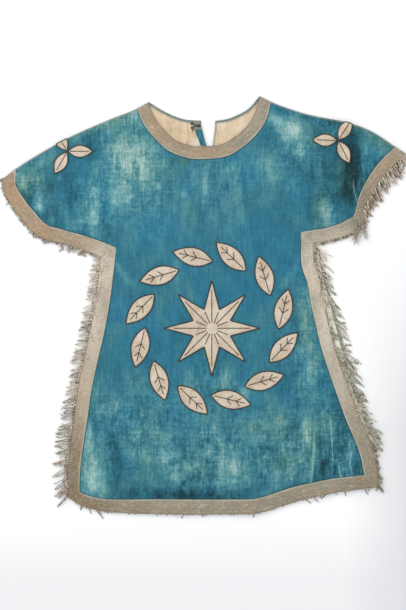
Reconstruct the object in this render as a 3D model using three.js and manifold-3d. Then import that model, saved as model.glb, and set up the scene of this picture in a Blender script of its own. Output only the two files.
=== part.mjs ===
// A herald's tabard in worn velvet, laid flat with its front uppermost.
// Millimetres. X runs across the garment, Y from the hem (0) up to the neck, and Z up from the surface.
// Every layer is a thin wall over one shared grid, so the layers keep the same gap all over.

import * as THREE from 'three';
import { mergeVertices } from 'three/addons/utils/BufferGeometryUtils.js';
import Module from 'manifold-3d';

// ---------------------------------------------------------------- driving sizes

const GAP = 0.3; // left between any two pieces
const VELVET = 1.6; // pile and ground together
const LINING = 1.0;
const GALLOON = 1.0; // thickness of the woven braid
const GALLOON_WIDTH = 31; // at its widest, where it lies quite flat
const APPLIQUE = 1.0;
const LINING_INSET = 3.5; // the lining is felled this far inside the velvet's edge

const STEP = 32; // spacing of the points along an outline
const CELL = 48; // grid of the draped layers
const GRID = { left: -432, bottom: -24, columns: 18, rows: 19 };
const PRISM_TOP = 60; // cutting prisms reach from below the surface to here
const PRISM_BOTTOM = -10;

const SEAM_LEFT = -305; // the velvet is 24 inches wide, so the sleeve tips are pieced on
const SEAM_RIGHT = 301;
const SLEEVE_FLOOR = 500; // the sleeves' seams lie above this height
const CENTRE_BACK = 9.5;
const FAR = 1000; // past every piece

const EMBLEM = { x: 14, y: 382, starOut: 98, starIn: 41, ring: 152, leaves: 12 };
const LEAF = { length: 84, width: 37, lean: 0.5 };
const SPRIG_LEAF = { length: 50, width: 25 };
const SPRIGS = {
  left: { x: -282, y: 744, turn: 2.1 },
  right: { x: 272, y: 766, turn: 1.0 },
};
const HOOK = { left: -29, right: -13, y: 794, width: 5, wire: 1.4, throat: 1.8 };

const MIDDLE = { x: 2.95, y: 429.25 }; // centre of the whole garment, moved to the origin

// ---------------------------------------------------------------- outline tables
// Each edge is a row of stations. Columns: x across, y up from the hem.
// Together they run anticlockwise, so the cloth is always on the left.

const HEM = [
  [-280, 36], [-255, 20], [-215, 8], [-175, 4], [-85, 1], [72, 1],
  [97, 2], [125, 7], [181, 25], [231, 38], [290, 49], [357, 57],
];
const SIDE_RIGHT = [
  [357, 57], [354, 80], [347, 122], [335, 160], [316, 203], [300, 245],
  [269, 331], [247, 418], [234, 484], [224, 515], [223, 556],
];
const SLEEVE_RIGHT = [
  [223, 556], [257, 562], [303, 578], [322, 596], [328, 632],
  [342, 658], [370, 698], [412, 740],
];
const SHOULDER_RIGHT = [
  [412, 740], [386, 757], [345, 784], [298, 802], [202, 823], [134, 847], [112, 858],
];
const NECK = [
  [112, 858], [108, 843], [100, 816], [81, 791], [56, 770], [35, 759], [3.5, 755],
  [-28, 756], [-61, 768], [-82, 787], [-101, 810], [-112, 833], [-115, 846],
];
const SHOULDER_LEFT = [
  [-115, 846], [-140, 832], [-203, 807], [-297, 764], [-389, 708], [-415, 688],
];
const SLEEVE_LEFT = [
  [-415, 688], [-415, 672], [-394, 629], [-355, 581], [-331, 565], [-297, 556],
  [-245, 540], [-214, 528],
];
const SIDE_LEFT = [
  [-214, 528], [-218, 489], [-231, 400], [-247, 325], [-259, 268], [-267, 210],
  [-275, 150], [-281, 93], [-280, 36],
];

// The back shows past the front on the right, and its neck is higher.
const BACK_SIDE_RIGHT = [
  [357, 57], [354, 80], [349, 122], [338, 160], [312, 235], [296, 286], [276, 368],
  [264, 416], [250, 472], [238, 515], [223, 556],
];
const BACK_NECK = [
  [112, 858], [89, 832], [66, 819], [45, 811], [22, 808], [-11, 808],
  [-40, 810], [-65, 818], [-91, 831], [-115, 846],
];
const SLIT = [
  [-12, 813], [3.5, 754], [CENTRE_BACK - GAP / 2, 716],
  [CENTRE_BACK + GAP / 2, 716], [16, 755], [23, 813],
];

const FACING = { width: 12, bottom: 758, top: 793 };

// The braid's width along each edge: rows of a place from 0 to 1 and a width.
// It narrows where it rolls under at the left corner of the hem and the corner of the right cuff.
const BRAID_WIDTH = {
  hem: [[0, 22], [0.1, 25], [0.3, 31], [0.8, 30], [1, 27]],
  side_right: [[0, 25], [0.08, 28], [0.2, 29], [0.3, 28.5], [0.5, 26.5], [1, 26.5]],
  sleeve_right: [
    [0, 27], [0.15, 27], [0.3, 29], [0.39, 26], [0.46, 19], [0.52, 18], [0.62, 23],
    [0.8, 25.5], [1, 26],
  ],
  neck: [[0, 26], [1, 26]],
  sleeve_left: [[0, 27], [0.15, 28], [0.35, 31], [0.55, 29], [0.75, 28.5], [1, 30]],
  side_left: [[0, 30], [0.26, 29.5], [0.42, 28.7], [0.65, 27.7], [0.89, 25.4], [1, 23]],
};

// How far the fringe reaches from each edge, in the same rows.
const FRONT_FRINGE = {
  side_right: [[0, 10], [0.14, 12], [0.2, 26], [0.42, 24], [0.6, 16], [1, 12]],
  sleeve_right: [[0, 12], [0.4, 16], [0.6, 28], [0.85, 28], [1, 16]],
  sleeve_left: [[0, 8], [0.5, 12], [1, 12]],
  side_left: [[0, 14], [0.42, 32], [0.9, 34], [1, 24]],
};
const BACK_FRINGE = {
  ...FRONT_FRINGE,
  side_right: [[0, 8], [0.2, 10], [0.42, 24], [0.8, 24], [1, 12]],
};
const FRINGE_THICK = 1.2;
const FRINGE_GAP = 0.35;

// Largest folds of the front: a soft ridge along a line. Columns: from, to, half width, height.
const FOLDS = [
  { from: [288, 790], to: [300, 640], width: 30, height: 7 },
  { from: [352, 742], to: [318, 640], width: 26, height: 4 },
  { from: [-352, 700], to: [-330, 620], width: 34, height: 4 },
  { from: [-250, 740], to: [-190, 600], width: 40, height: 3 },
  { from: [215, 190], to: [232, 50], width: 26, height: 6 },
  { from: [286, 170], to: [300, 70], width: 26, height: 5 },
  { from: [120, 120], to: [90, 20], width: 34, height: 4 },
  { from: [-60, 180], to: [-40, 30], width: 44, height: 3 },
  { from: [-200, 240], to: [-215, 60], width: 34, height: 4 },
  { from: [-130, 640], to: [-150, 420], width: 60, height: 3 },
  { from: [150, 640], to: [165, 430], width: 60, height: 3 },
];

const COLOURS = {
  velvet: 0x2f7d96,
  lining: 0xe6cdaa,
  galloon: 0xaf9c83,
  fringe: 0x9b8b78,
  applique: 0xddd0bb,
  metal: 0x57504a,
};

// ---------------------------------------------------------------- solids

const wasm = await Module();
wasm.setup();

function solidFrom(geometry) {
  const bare = geometry.clone();
  bare.deleteAttribute('normal');
  bare.deleteAttribute('uv');
  const merged = mergeVertices(bare, 1e-4);
  const mesh = new wasm.Mesh({
    numProp: 3,
    vertProperties: new Float32Array(merged.attributes.position.array),
    triVerts: new Uint32Array(merged.index.array),
  });
  return new wasm.Manifold(mesh);
}

function geometryFrom(solid) {
  const mesh = solid.getMesh();
  const geometry = new THREE.BufferGeometry();
  geometry.setAttribute('position', new THREE.BufferAttribute(mesh.vertProperties, 3));
  geometry.setIndex(new THREE.BufferAttribute(mesh.triVerts, 1));
  const faceted = geometry.toNonIndexed();
  faceted.computeVertexNormals();
  return faceted;
}

// A tall prism over a closed outline, used to cut a draped layer to shape.
function prism(points) {
  const depth = PRISM_TOP - PRISM_BOTTOM;
  const shape = new THREE.Shape(points);
  const geometry = new THREE.ExtrudeGeometry(shape, { depth, bevelEnabled: false });
  return solidFrom(geometry.translate(0, 0, PRISM_BOTTOM));
}

function rectangle(left, right, bottom, top) {
  return prism([
    new THREE.Vector2(left, bottom),
    new THREE.Vector2(right, bottom),
    new THREE.Vector2(right, top),
    new THREE.Vector2(left, top),
  ]);
}

// A thin wall along a joint line, taken out of the pieces on both sides of it.
function seamWall(a, b) {
  const along = b.clone().sub(a).normalize();
  const half = new THREE.Vector2(-along.y, along.x).multiplyScalar(GAP / 2);
  const overrun = along.clone().multiplyScalar(4);
  const start = a.clone().sub(overrun);
  const end = b.clone().add(overrun);
  return prism([
    start.clone().sub(half),
    end.clone().sub(half),
    end.clone().add(half),
    start.clone().add(half),
  ]);
}

// ---------------------------------------------------------------- outlines

function smoothEdge(stations) {
  const knots = stations.map(([x, y]) => new THREE.Vector3(x, y, 0));
  const curve = new THREE.CatmullRomCurve3(knots, false, 'centripetal');
  const count = Math.max(3, Math.round(curve.getLength() / STEP));
  return curve.getSpacedPoints(count).map((p) => new THREE.Vector2(p.x, p.y));
}

// Joins named edges into one closed loop and notes where each edge starts and ends.
function makeOutline(edges) {
  const points = [];
  const owner = [];
  const span = {};
  for (const [name, stations] of Object.entries(edges)) {
    const run = smoothEdge(stations);
    run.pop();
    span[name] = [points.length, points.length + run.length];
    for (const point of run) {
      points.push(point);
      owner.push(name);
    }
  }
  return { points, owner, span };
}

function leftNormal(a, b) {
  const along = b.clone().sub(a).normalize();
  return new THREE.Vector2(-along.y, along.x);
}

// Moves each point to the left by its segments' widths, with true corners where the edges turn.
function insetPoints(outline, widthOf) {
  const { points } = outline;
  const count = points.length;
  return points.map((point, i) => {
    const last = (i + count - 1) % count;
    const before = leftNormal(points[last], point);
    const after = leftNormal(point, points[(i + 1) % count]);
    const [a, b] = [widthOf(last), widthOf(i)];
    const turn = before.x * after.y - before.y * after.x;
    if (Math.abs(turn) < 0.3) {
      const mean = before.clone().add(after).normalize();
      return point.clone().addScaledVector(mean, (a + b) / 2);
    }
    const shift = new THREE.Vector2(a * after.y - b * before.y, b * before.x - a * after.x);
    return point.clone().add(shift.divideScalar(turn));
  });
}

function runOf(points, [start, end]) {
  const count = points.length;
  const run = [];
  for (let i = start; i <= end; i++) run.push(points[i % count]);
  return run;
}

const front = makeOutline({
  hem: HEM,
  side_right: SIDE_RIGHT,
  sleeve_right: SLEEVE_RIGHT,
  shoulder_right: SHOULDER_RIGHT,
  neck: NECK,
  shoulder_left: SHOULDER_LEFT,
  sleeve_left: SLEEVE_LEFT,
  side_left: SIDE_LEFT,
});
const back = makeOutline({
  hem: HEM,
  side_right: BACK_SIDE_RIGHT,
  sleeve_right: SLEEVE_RIGHT,
  shoulder_right: SHOULDER_RIGHT,
  neck: BACK_NECK,
  shoulder_left: SHOULDER_LEFT,
  sleeve_left: SLEEVE_LEFT,
  side_left: SIDE_LEFT,
});

// A table's value at a point of an outline, or 0 on an edge that isn't in the table.
function valueAt(table, outline, i) {
  const rows = table[outline.owner[i]];
  if (!rows) return 0;
  const [start, end] = outline.span[outline.owner[i]];
  const place = (i - start) / (end - start);
  const next = Math.max(1, rows.findIndex(([at]) => at >= place));
  const [[a, low], [b, high]] = [rows[next - 1], rows[next]];
  return THREE.MathUtils.mapLinear(place, a, b, low, high);
}

const BRAIDED = ['hem', 'side_right', 'sleeve_right', 'neck', 'sleeve_left', 'side_left'];
const FRINGED = ['side_right', 'sleeve_right', 'sleeve_left', 'side_left'];

// ---------------------------------------------------------------- heights

function distanceToLine(x, y, [ax, ay], [bx, by]) {
  const [dx, dy] = [bx - ax, by - ay];
  const along = ((x - ax) * dx + (y - ay) * dy) / (dx * dx + dy * dy);
  const t = Math.min(1, Math.max(0, along));
  return Math.hypot(x - ax - t * dx, y - ay - t * dy);
}

function insideOutline(x, y, points) {
  let inside = false;
  for (let i = 0, j = points.length - 1; i < points.length; j = i++) {
    const [a, b] = [points[i], points[j]];
    const crosses = a.y > y !== b.y > y;
    if (crosses && x < ((b.x - a.x) * (y - a.y)) / (b.y - a.y) + a.x) inside = !inside;
  }
  return inside;
}

// The back rests on the surface, and its rim is raised by the galloon sewn under it.
const RIM_LIFT = GALLOON + GAP;
const RIM_REACH = GALLOON_WIDTH + CELL * Math.SQRT2 + 2;

function backHeight(x, y) {
  const { points } = back;
  if (!insideOutline(x, y, points)) return RIM_LIFT;
  const nearest = points.reduce((least, a, i) => {
    const b = points[(i + 1) % points.length];
    return Math.min(least, distanceToLine(x, y, [a.x, a.y], [b.x, b.y]));
  }, Infinity);
  return nearest < RIM_REACH ? RIM_LIFT : 0;
}

function foldHeight(x, y) {
  return FOLDS.reduce((sum, fold) => {
    const away = distanceToLine(x, y, fold.from, fold.to) / fold.width;
    return sum + fold.height * Math.exp(-away * away);
  }, 0);
}

const liningHeight = (x, y) => backHeight(x, y) + VELVET + GAP;
const facingHeight = (x, y) => liningHeight(x, y) + LINING + GAP;
const frontHeight = (x, y) => facingHeight(x, y) + foldHeight(x, y);
const trimHeight = (x, y) => frontHeight(x, y) + VELVET + GAP;

// A closed sheet of even thickness over the whole grid.
function drape(heightAt, thickness) {
  const { left, bottom, columns, rows } = GRID;
  const layer = (columns + 1) * (rows + 1);
  const positions = [];
  const heights = [];
  for (let r = 0; r <= rows; r++)
    for (let c = 0; c <= columns; c++) heights.push(heightAt(left + c * CELL, bottom + r * CELL));
  for (const lift of [0, thickness])
    heights.forEach((height, n) => {
      const [c, r] = [n % (columns + 1), Math.floor(n / (columns + 1))];
      positions.push(left + c * CELL, bottom + r * CELL, height + lift);
    });
  const at = (c, r) => r * (columns + 1) + c;
  const faces = [];
  for (let r = 0; r < rows; r++)
    for (let c = 0; c < columns; c++) {
      const [a, b, d, e] = [at(c, r), at(c + 1, r), at(c + 1, r + 1), at(c, r + 1)];
      faces.push(a + layer, b + layer, d + layer, a + layer, d + layer, e + layer);
      faces.push(a, d, b, a, e, d);
    }
  const wall = (p, q) => faces.push(p, q, q + layer, p, q + layer, p + layer);
  for (let c = 0; c < columns; c++) {
    wall(at(c, 0), at(c + 1, 0));
    wall(at(c + 1, rows), at(c, rows));
  }
  for (let r = 0; r < rows; r++) {
    wall(at(columns, r), at(columns, r + 1));
    wall(at(0, r + 1), at(0, r));
  }
  const geometry = new THREE.BufferGeometry();
  geometry.setAttribute('position', new THREE.Float32BufferAttribute(positions, 3));
  geometry.setIndex(faces);
  return solidFrom(geometry);
}

const sheets = {
  back: drape(backHeight, VELVET),
  lining: drape(liningHeight, LINING),
  facing: drape(facingHeight, GALLOON),
  front: drape(frontHeight, VELVET),
  trim: drape(trimHeight, GALLOON),
  applique: drape(trimHeight, APPLIQUE),
};

// ---------------------------------------------------------------- pieces

const tabard = new THREE.Group();
tabard.position.set(-MIDDLE.x, -MIDDLE.y, 0);

function addPiece(name, solid, colour, roughness = 0.9, metalness = 0) {
  const material = new THREE.MeshStandardMaterial({ color: colour, roughness, metalness });
  const mesh = new THREE.Mesh(geometryFrom(solid), material);
  mesh.name = name;
  tabard.add(mesh);
}

const frontPrism = prism(front.points);
const slitPrism = prism(SLIT.map(([x, y]) => new THREE.Vector2(x, y)));
const leftOf = (x, floor = -FAR) => rectangle(-FAR, x, floor, FAR);
const rightOf = (x, floor = -FAR) => rectangle(x, FAR, floor, FAR);
const leftHalf = leftOf(CENTRE_BACK - GAP / 2);
const rightHalf = rightOf(CENTRE_BACK + GAP / 2);

function addVelvet() {
  const cloth = sheets.front.intersect(frontPrism);
  const leftTip = leftOf(SEAM_LEFT, SLEEVE_FLOOR);
  const rightTip = rightOf(SEAM_RIGHT, SLEEVE_FLOOR);
  const leftBody = leftOf(SEAM_LEFT - GAP, SLEEVE_FLOOR);
  const rightBody = rightOf(SEAM_RIGHT + GAP, SLEEVE_FLOOR);
  addPiece('front_panel', cloth.subtract(leftTip).subtract(rightTip), COLOURS.velvet);
  addPiece('front_sleeve_left', cloth.intersect(leftBody), COLOURS.velvet);
  addPiece('front_sleeve_right', cloth.intersect(rightBody), COLOURS.velvet);
  const rear = sheets.back.intersect(prism(back.points)).subtract(slitPrism);
  addPiece('back_left', rear.intersect(leftHalf), COLOURS.velvet);
  addPiece('back_right', rear.intersect(rightHalf), COLOURS.velvet);
}

function addLining() {
  const inset = prism(insetPoints(back, () => LINING_INSET));
  const cloth = sheets.lining.intersect(inset).subtract(slitPrism);
  addPiece('lining_left', cloth.intersect(leftHalf), COLOURS.lining);
  addPiece('lining_right', cloth.intersect(rightHalf), COLOURS.lining);
}

// The left edge of the back opening is faced with a strip of velvet, down to the front's neck.
function addFacing() {
  const [top, bend] = SLIT.slice(0, 2).map(([x, y]) => new THREE.Vector2(x, y));
  const across = new THREE.Vector2(FACING.width, 0);
  const strip = prism([top, top.clone().sub(across), bend.clone().sub(across), bend]);
  const shown = rectangle(-FAR, FAR, FACING.bottom, FACING.top);
  const cloth = sheets.facing.intersect(strip).intersect(shown);
  addPiece('slit_facing', cloth, COLOURS.velvet);
}

const braidWidth = (outline) => (i) => valueAt(BRAID_WIDTH, outline, i);

// Thin walls at the corners where two braids meet.
function cornerWalls(outline, inner, names) {
  const walls = names
    .filter((name) => {
      const before = outline.span[name][0] - 1 + outline.points.length;
      return names.includes(outline.owner[before % outline.points.length]);
    })
    .map((name) => {
      const corner = outline.span[name][0];
      return seamWall(outline.points[corner], inner[corner]);
    });
  return walls.reduce((all, wall) => all.add(wall));
}

// The strip between the edge and its inset, without the inset points that crowd its two corners.
function braidStrip(outline, inner, name) {
  const outer = runOf(outline.points, outline.span[name]);
  const inside = runOf(inner, outline.span[name]).reverse();
  const ends = [inside[0], inside.at(-1)];
  const crowds = (p) => ends.some((end) => p !== end && p.distanceTo(end) < STEP / 2);
  return prism([...outer, ...inside.filter((p) => !crowds(p))]);
}

function addFrontBraids() {
  const inner = insetPoints(front, braidWidth(front));
  const walls = cornerWalls(front, inner, BRAIDED);
  for (const name of BRAIDED) {
    const strip = braidStrip(front, inner, name).subtract(walls);
    addPiece('braid_front_' + name, sheets.trim.intersect(strip), COLOURS.galloon, 0.75, 0.2);
  }
}

function addBackBraids() {
  const inner = insetPoints(back, braidWidth(back));
  const walls = cornerWalls(back, inner, BRAIDED).add(slitPrism);
  const layer = solidFrom(
    new THREE.BoxGeometry(2000, 2000, GALLOON).translate(0, 0, GALLOON / 2),
  );
  for (const name of BRAIDED) {
    const strip = layer.intersect(braidStrip(back, inner, name).subtract(walls));
    if (name === 'neck') {
      addPiece('braid_back_neck_left', strip.intersect(leftHalf), COLOURS.galloon);
      addPiece('braid_back_neck_right', strip.intersect(rightHalf), COLOURS.galloon);
    } else addPiece('braid_back_' + name, strip, COLOURS.galloon, 0.75, 0.2);
  }
}

// Draws both ends of a run in a little, so that neighbours stay apart at a corner.
function shortened(run) {
  const drawIn = (end, next) => end.clone().lerp(next, (2 * GAP) / end.distanceTo(next));
  return [drawIn(run[0], run[1]), ...run.slice(1, -1), drawIn(run.at(-1), run.at(-2))];
}

// A closed strip from the garment's edge out to the fringe's reach, sloping down to the surface.
function fringeSolid(inner, outer, innerHeight, outerHeight) {
  const positions = [];
  const faces = [];
  inner.forEach((a, i) => {
    const b = outer[i];
    const low = innerHeight(a.x, a.y);
    positions.push(a.x, a.y, low, a.x, a.y, low + FRINGE_THICK);
    positions.push(b.x, b.y, outerHeight + FRINGE_THICK, b.x, b.y, outerHeight);
  });
  const quad = (a, b, c, d) => faces.push(a, b, c, a, c, d);
  for (let i = 0; i + 1 < inner.length; i++)
    for (let k = 0; k < 4; k++) {
      const next = (k + 1) % 4;
      quad(i * 4 + k, i * 4 + next, i * 4 + 4 + next, i * 4 + 4 + k);
    }
  const last = (inner.length - 1) * 4;
  quad(3, 2, 1, 0);
  quad(last, last + 1, last + 2, last + 3);
  const geometry = new THREE.BufferGeometry();
  geometry.setAttribute('position', new THREE.Float32BufferAttribute(positions, 3));
  geometry.setIndex(faces);
  return solidFrom(geometry);
}

function addFringes(outline, prefix, reaches, innerHeight, outerHeights) {
  const reach = (i) => valueAt(reaches, outline, i);
  const roots = insetPoints(outline, (i) => (reach(i) ? -FRINGE_GAP : 0));
  const tips = insetPoints(outline, (i) => -reach(i));
  for (const name of FRINGED) {
    const inner = shortened(runOf(roots, outline.span[name]));
    const outer = shortened(runOf(tips, outline.span[name]));
    const solid = fringeSolid(inner, outer, innerHeight, outerHeights[name]);
    addPiece(prefix + name, solid, COLOURS.fringe);
  }
}

function leafPoints({ length, width }, x, y, angle) {
  const shape = new THREE.Shape();
  shape.moveTo(-length / 2, 0);
  shape.quadraticCurveTo(-length * 0.05, -width, length / 2, 0);
  shape.quadraticCurveTo(-length * 0.05, width, -length / 2, 0);
  const centre = new THREE.Vector2();
  return shape
    .getPoints(6)
    .slice(0, -1)
    .map((p) => p.rotateAround(centre, angle).add(new THREE.Vector2(x, y)));
}

function addApplique(name, points) {
  const cloth = sheets.applique.intersect(prism(points)).intersect(frontPrism);
  addPiece(name, cloth, COLOURS.applique);
}

function addEmblem() {
  const { x, y, starOut, starIn, ring, leaves } = EMBLEM;
  const star = [];
  for (let i = 0; i < 16; i++) {
    const radius = i % 2 ? starIn : starOut;
    const angle = (i * Math.PI) / 8;
    star.push(new THREE.Vector2(x + radius * Math.cos(angle), y + radius * Math.sin(angle)));
  }
  addApplique('emblem_star', star);
  for (let i = 0; i < leaves; i++) {
    const angle = ((i + 0.5) * 2 * Math.PI) / leaves;
    const place = [x + ring * Math.cos(angle), y + ring * Math.sin(angle)];
    const lie = angle + Math.PI / 2 - LEAF.lean;
    addApplique('emblem_leaf_' + (i + 1), leafPoints(LEAF, ...place, lie));
  }
}

// A sprig of three leaves on each shoulder.
function addSprigs() {
  for (const [side, { x, y, turn }] of Object.entries(SPRIGS))
    for (let i = 0; i < 3; i++) {
      const angle = turn + ((i - 1) * 2 * Math.PI) / 3;
      const reach = SPRIG_LEAF.length / 2 + 2;
      const place = [x + reach * Math.cos(angle), y + reach * Math.sin(angle)];
      addApplique('sprig_' + side + '_' + (i + 1), leafPoints(SPRIG_LEAF, ...place, angle));
    }
}

// A sewn-on hook: a flat strap bent back over itself, towards the opening.
function addHook() {
  const { left, right, wire, throat } = HOOK;
  const bend = wire + throat / 2;
  const shape = new THREE.Shape();
  shape.moveTo(left, 0);
  shape.lineTo(right, 0);
  shape.absarc(right, bend, bend, -Math.PI / 2, Math.PI / 2, false);
  shape.lineTo(left + 5, 2 * bend);
  shape.lineTo(left + 5, 2 * bend - wire);
  shape.lineTo(right, 2 * bend - wire);
  shape.absarc(right, bend, throat / 2, Math.PI / 2, -Math.PI / 2, true);
  shape.lineTo(left, wire);
  const strap = new THREE.ExtrudeGeometry(shape, {
    depth: HOOK.width,
    bevelEnabled: false,
    curveSegments: 5,
  });
  strap.rotateX(Math.PI / 2).translate(0, HOOK.y + HOOK.width, facingHeight(-20, HOOK.y));
  addPiece('hook', solidFrom(strap), COLOURS.metal, 0.45, 0.9);
}

addVelvet();
addLining();
addFacing();
addFrontBraids();
addBackBraids();
addFringes(front, 'fringe_front_', FRONT_FRINGE, frontHeight, {
  side_right: 4.5,
  sleeve_right: 2.2,
  sleeve_left: 2.2,
  side_left: 2.2,
});
addFringes(back, 'fringe_back_', BACK_FRINGE, () => RIM_LIFT, {
  side_right: GAP,
  sleeve_right: GAP,
  sleeve_left: GAP,
  side_left: GAP,
});
addEmblem();
addSprigs();
addHook();

export default tabard;
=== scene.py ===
"""A herald's tabard in worn velvet, laid flat with its front uppermost."""

import math

import bpy
import numpy as np
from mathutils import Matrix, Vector
from mathutils.geometry import delaunay_2d_cdt


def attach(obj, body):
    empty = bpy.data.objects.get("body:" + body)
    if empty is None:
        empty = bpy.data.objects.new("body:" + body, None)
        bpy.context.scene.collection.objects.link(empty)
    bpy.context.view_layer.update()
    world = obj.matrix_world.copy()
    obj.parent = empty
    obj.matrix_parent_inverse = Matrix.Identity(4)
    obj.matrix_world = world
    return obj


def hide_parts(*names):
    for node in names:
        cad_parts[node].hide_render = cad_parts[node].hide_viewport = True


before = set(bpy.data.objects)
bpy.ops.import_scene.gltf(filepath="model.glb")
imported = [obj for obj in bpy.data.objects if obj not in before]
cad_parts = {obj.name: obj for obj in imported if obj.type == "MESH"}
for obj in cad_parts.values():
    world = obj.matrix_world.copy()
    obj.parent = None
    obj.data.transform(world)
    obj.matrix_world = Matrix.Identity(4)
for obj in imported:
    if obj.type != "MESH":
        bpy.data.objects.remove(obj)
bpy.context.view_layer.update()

# ------------------------------------------------------------------ sizes, in millimetres
# Garment places are x across and y up from the hem. MIDDLE is moved to the frame's origin.

MM = 0.001
MIDDLE = np.array([2.95, 429.25])
VELVET, LINING, GALLOON, LAYER_GAP = 1.6, 1.0, 1.0, 0.3
GALLOON_WIDTH = 31.0
RIM_LIFT = GALLOON + LAYER_GAP
RIM_REACH = 92.0
LINING_INSET = 3.5
SEAM_LEFT, SEAM_RIGHT, SLEEVE_FLOOR = -305.0, 301.0, 500.0
CENTRE_BACK = 9.5
SEAM_GAP = 0.4

rng = np.random.default_rng(1860)

# ------------------------------------------------------------------ outline tables
# Each edge is a row of stations, x and y. Together they run anticlockwise.

EDGES = {
    "hem": [
        (-280, 36), (-255, 20), (-215, 8), (-175, 4), (-85, 1), (72, 1),
        (97, 2), (125, 7), (181, 25), (231, 38), (290, 49), (357, 57),
    ],
    "side_right": [
        (357, 57), (354, 80), (347, 122), (335, 160), (316, 203), (300, 245),
        (269, 331), (247, 418), (234, 484), (224, 515), (223, 556),
    ],
    "sleeve_right": [
        (223, 556), (257, 562), (303, 578), (322, 596), (328, 632),
        (342, 658), (370, 698), (412, 740),
    ],
    "shoulder_right": [
        (412, 740), (386, 757), (345, 784), (298, 802), (202, 823), (134, 847), (112, 858),
    ],
    "neck": [
        (112, 858), (108, 843), (100, 816), (81, 791), (56, 770), (35, 759), (3.5, 755),
        (-28, 756), (-61, 768), (-82, 787), (-101, 810), (-112, 833), (-115, 846),
    ],
    "shoulder_left": [
        (-115, 846), (-140, 832), (-203, 807), (-297, 764), (-389, 708), (-415, 688),
    ],
    "sleeve_left": [
        (-415, 688), (-415, 672), (-394, 629), (-355, 581), (-331, 565), (-297, 556),
        (-245, 540), (-214, 528),
    ],
    "side_left": [
        (-214, 528), (-218, 489), (-231, 400), (-247, 325), (-259, 268), (-267, 210),
        (-275, 150), (-281, 93), (-280, 36),
    ],
}
BACK_EDGES = dict(
    EDGES,
    side_right=[
        (357, 57), (354, 80), (349, 122), (338, 160), (312, 235), (296, 286), (276, 368),
        (264, 416), (250, 472), (238, 515), (223, 556),
    ],
    neck=[
        (112, 858), (89, 832), (66, 819), (45, 811), (22, 808), (-11, 808),
        (-40, 810), (-65, 818), (-91, 831), (-115, 846),
    ],
)
SLIT = [(-12, 813), (3.5, 754), (9.3, 716), (9.7, 716), (16, 755), (23, 813)]
# The braid's width along each edge: rows of a place from 0 to 1 and a width.
BRAID_WIDTH = {
    "hem": [(0, 22), (0.1, 25), (0.3, 31), (0.8, 30), (1, 27)],
    "side_right": [(0, 25), (0.08, 28), (0.2, 29), (0.3, 28.5), (0.5, 26.5), (1, 26.5)],
    "sleeve_right": [
        (0, 27), (0.15, 27), (0.3, 29), (0.39, 26), (0.46, 19), (0.52, 18), (0.62, 23),
        (0.8, 25.5), (1, 26),
    ],
    "neck": [(0, 26), (1, 26)],
    "sleeve_left": [(0, 27), (0.15, 28), (0.35, 31), (0.55, 29), (0.75, 28.5), (1, 30)],
    "side_left": [(0, 30), (0.26, 29.5), (0.42, 28.7), (0.65, 27.7), (0.89, 25.4), (1, 23)],
}
BRAIDED = tuple(BRAID_WIDTH)

# Folds of the front: soft ridges along a line. Columns: from, to, half width, height.
FOLDS = [
    ((288, 790), (300, 640), 30, 7),
    ((352, 742), (318, 640), 26, 4),
    ((-352, 700), (-330, 620), 34, 4),
    ((-250, 740), (-190, 600), 40, 3),
    ((215, 190), (232, 50), 26, 6),
    ((286, 170), (300, 70), 26, 5),
    ((120, 120), (90, 20), 34, 4),
    ((-60, 180), (-40, 30), 44, 3),
    ((-200, 240), (-215, 60), 34, 4),
    ((-130, 640), (-150, 420), 60, 3),
    ((150, 640), (165, 430), 60, 3),
]
# Sharper creases, the same columns. A height below nothing is a trough.
CREASES = [
    ((226, 146), (216, 66), 4, 1.8),
    ((236, 170), (240, 62), 7, -0.8),
    ((257, 190), (262, 110), 5, 1.0),
    ((273, 108), (279, 76), 4, 1.4),
    ((207, 190), (210, 150), 6, 0.9),
    ((303, 770), (302, 660), 16, -2.4),
    ((302, 686), (313, 640), 5, 1.4),
    ((332, 776), (312, 640), 10, 1.1),
    ((300, 600), (316, 622), 6, 1.4),
    ((-236, 180), (-228, 60), 8, 1.3),
    ((-196, 150), (-206, 40), 7, 1.0),
    ((-60, 120), (-66, 40), 8, 1.0),
    ((36, 150), (30, 50), 8, 1.2),
    ((64, 120), (58, 50), 6, 1.0),
    ((-20, 700), (-40, 620), 8, 0.8),
    ((60, 700), (76, 600), 8, 0.8),
    ((-190, 520), (-150, 470), 8, 1.3),
    ((196, 520), (160, 470), 8, 1.2),
    ((-350, 640), (-310, 600), 7, 1.3),
    ((-380, 680), (-330, 640), 7, 1.0),
    ((-300, 690), (-290, 620), 9, 1.2),
    ((-246, 650), (-232, 570), 7, 1.0),
]


# ------------------------------------------------------------------ curves and outlines

def smooth_edge(stations, step):
    """Points a step apart on the centripetal Catmull-Rom curve through the stations."""
    p = np.array(stations, float)
    p = np.vstack([2 * p[0] - p[1], p, 2 * p[-1] - p[-2]])
    found = []
    for a, b, c, d in zip(p, p[1:], p[2:], p[3:]):
        ta = 0.0
        tb = ta + np.linalg.norm(b - a) ** 0.5
        tc = tb + np.linalg.norm(c - b) ** 0.5
        td = tc + np.linalg.norm(d - c) ** 0.5
        t = np.linspace(tb, tc, 40, endpoint=False)[:, None]
        ab = (tb - t) / (tb - ta) * a + (t - ta) / (tb - ta) * b
        bc = (tc - t) / (tc - tb) * b + (t - tb) / (tc - tb) * c
        cd = (td - t) / (td - tc) * c + (t - tc) / (td - tc) * d
        abc = (tc - t) / (tc - ta) * ab + (t - ta) / (tc - ta) * bc
        bcd = (td - t) / (td - tb) * bc + (t - tb) / (td - tb) * cd
        found.append((tc - t) / (tc - tb) * abc + (t - tb) / (tc - tb) * bcd)
    return resample(np.vstack(found + [p[-2:-1]]), step)


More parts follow.
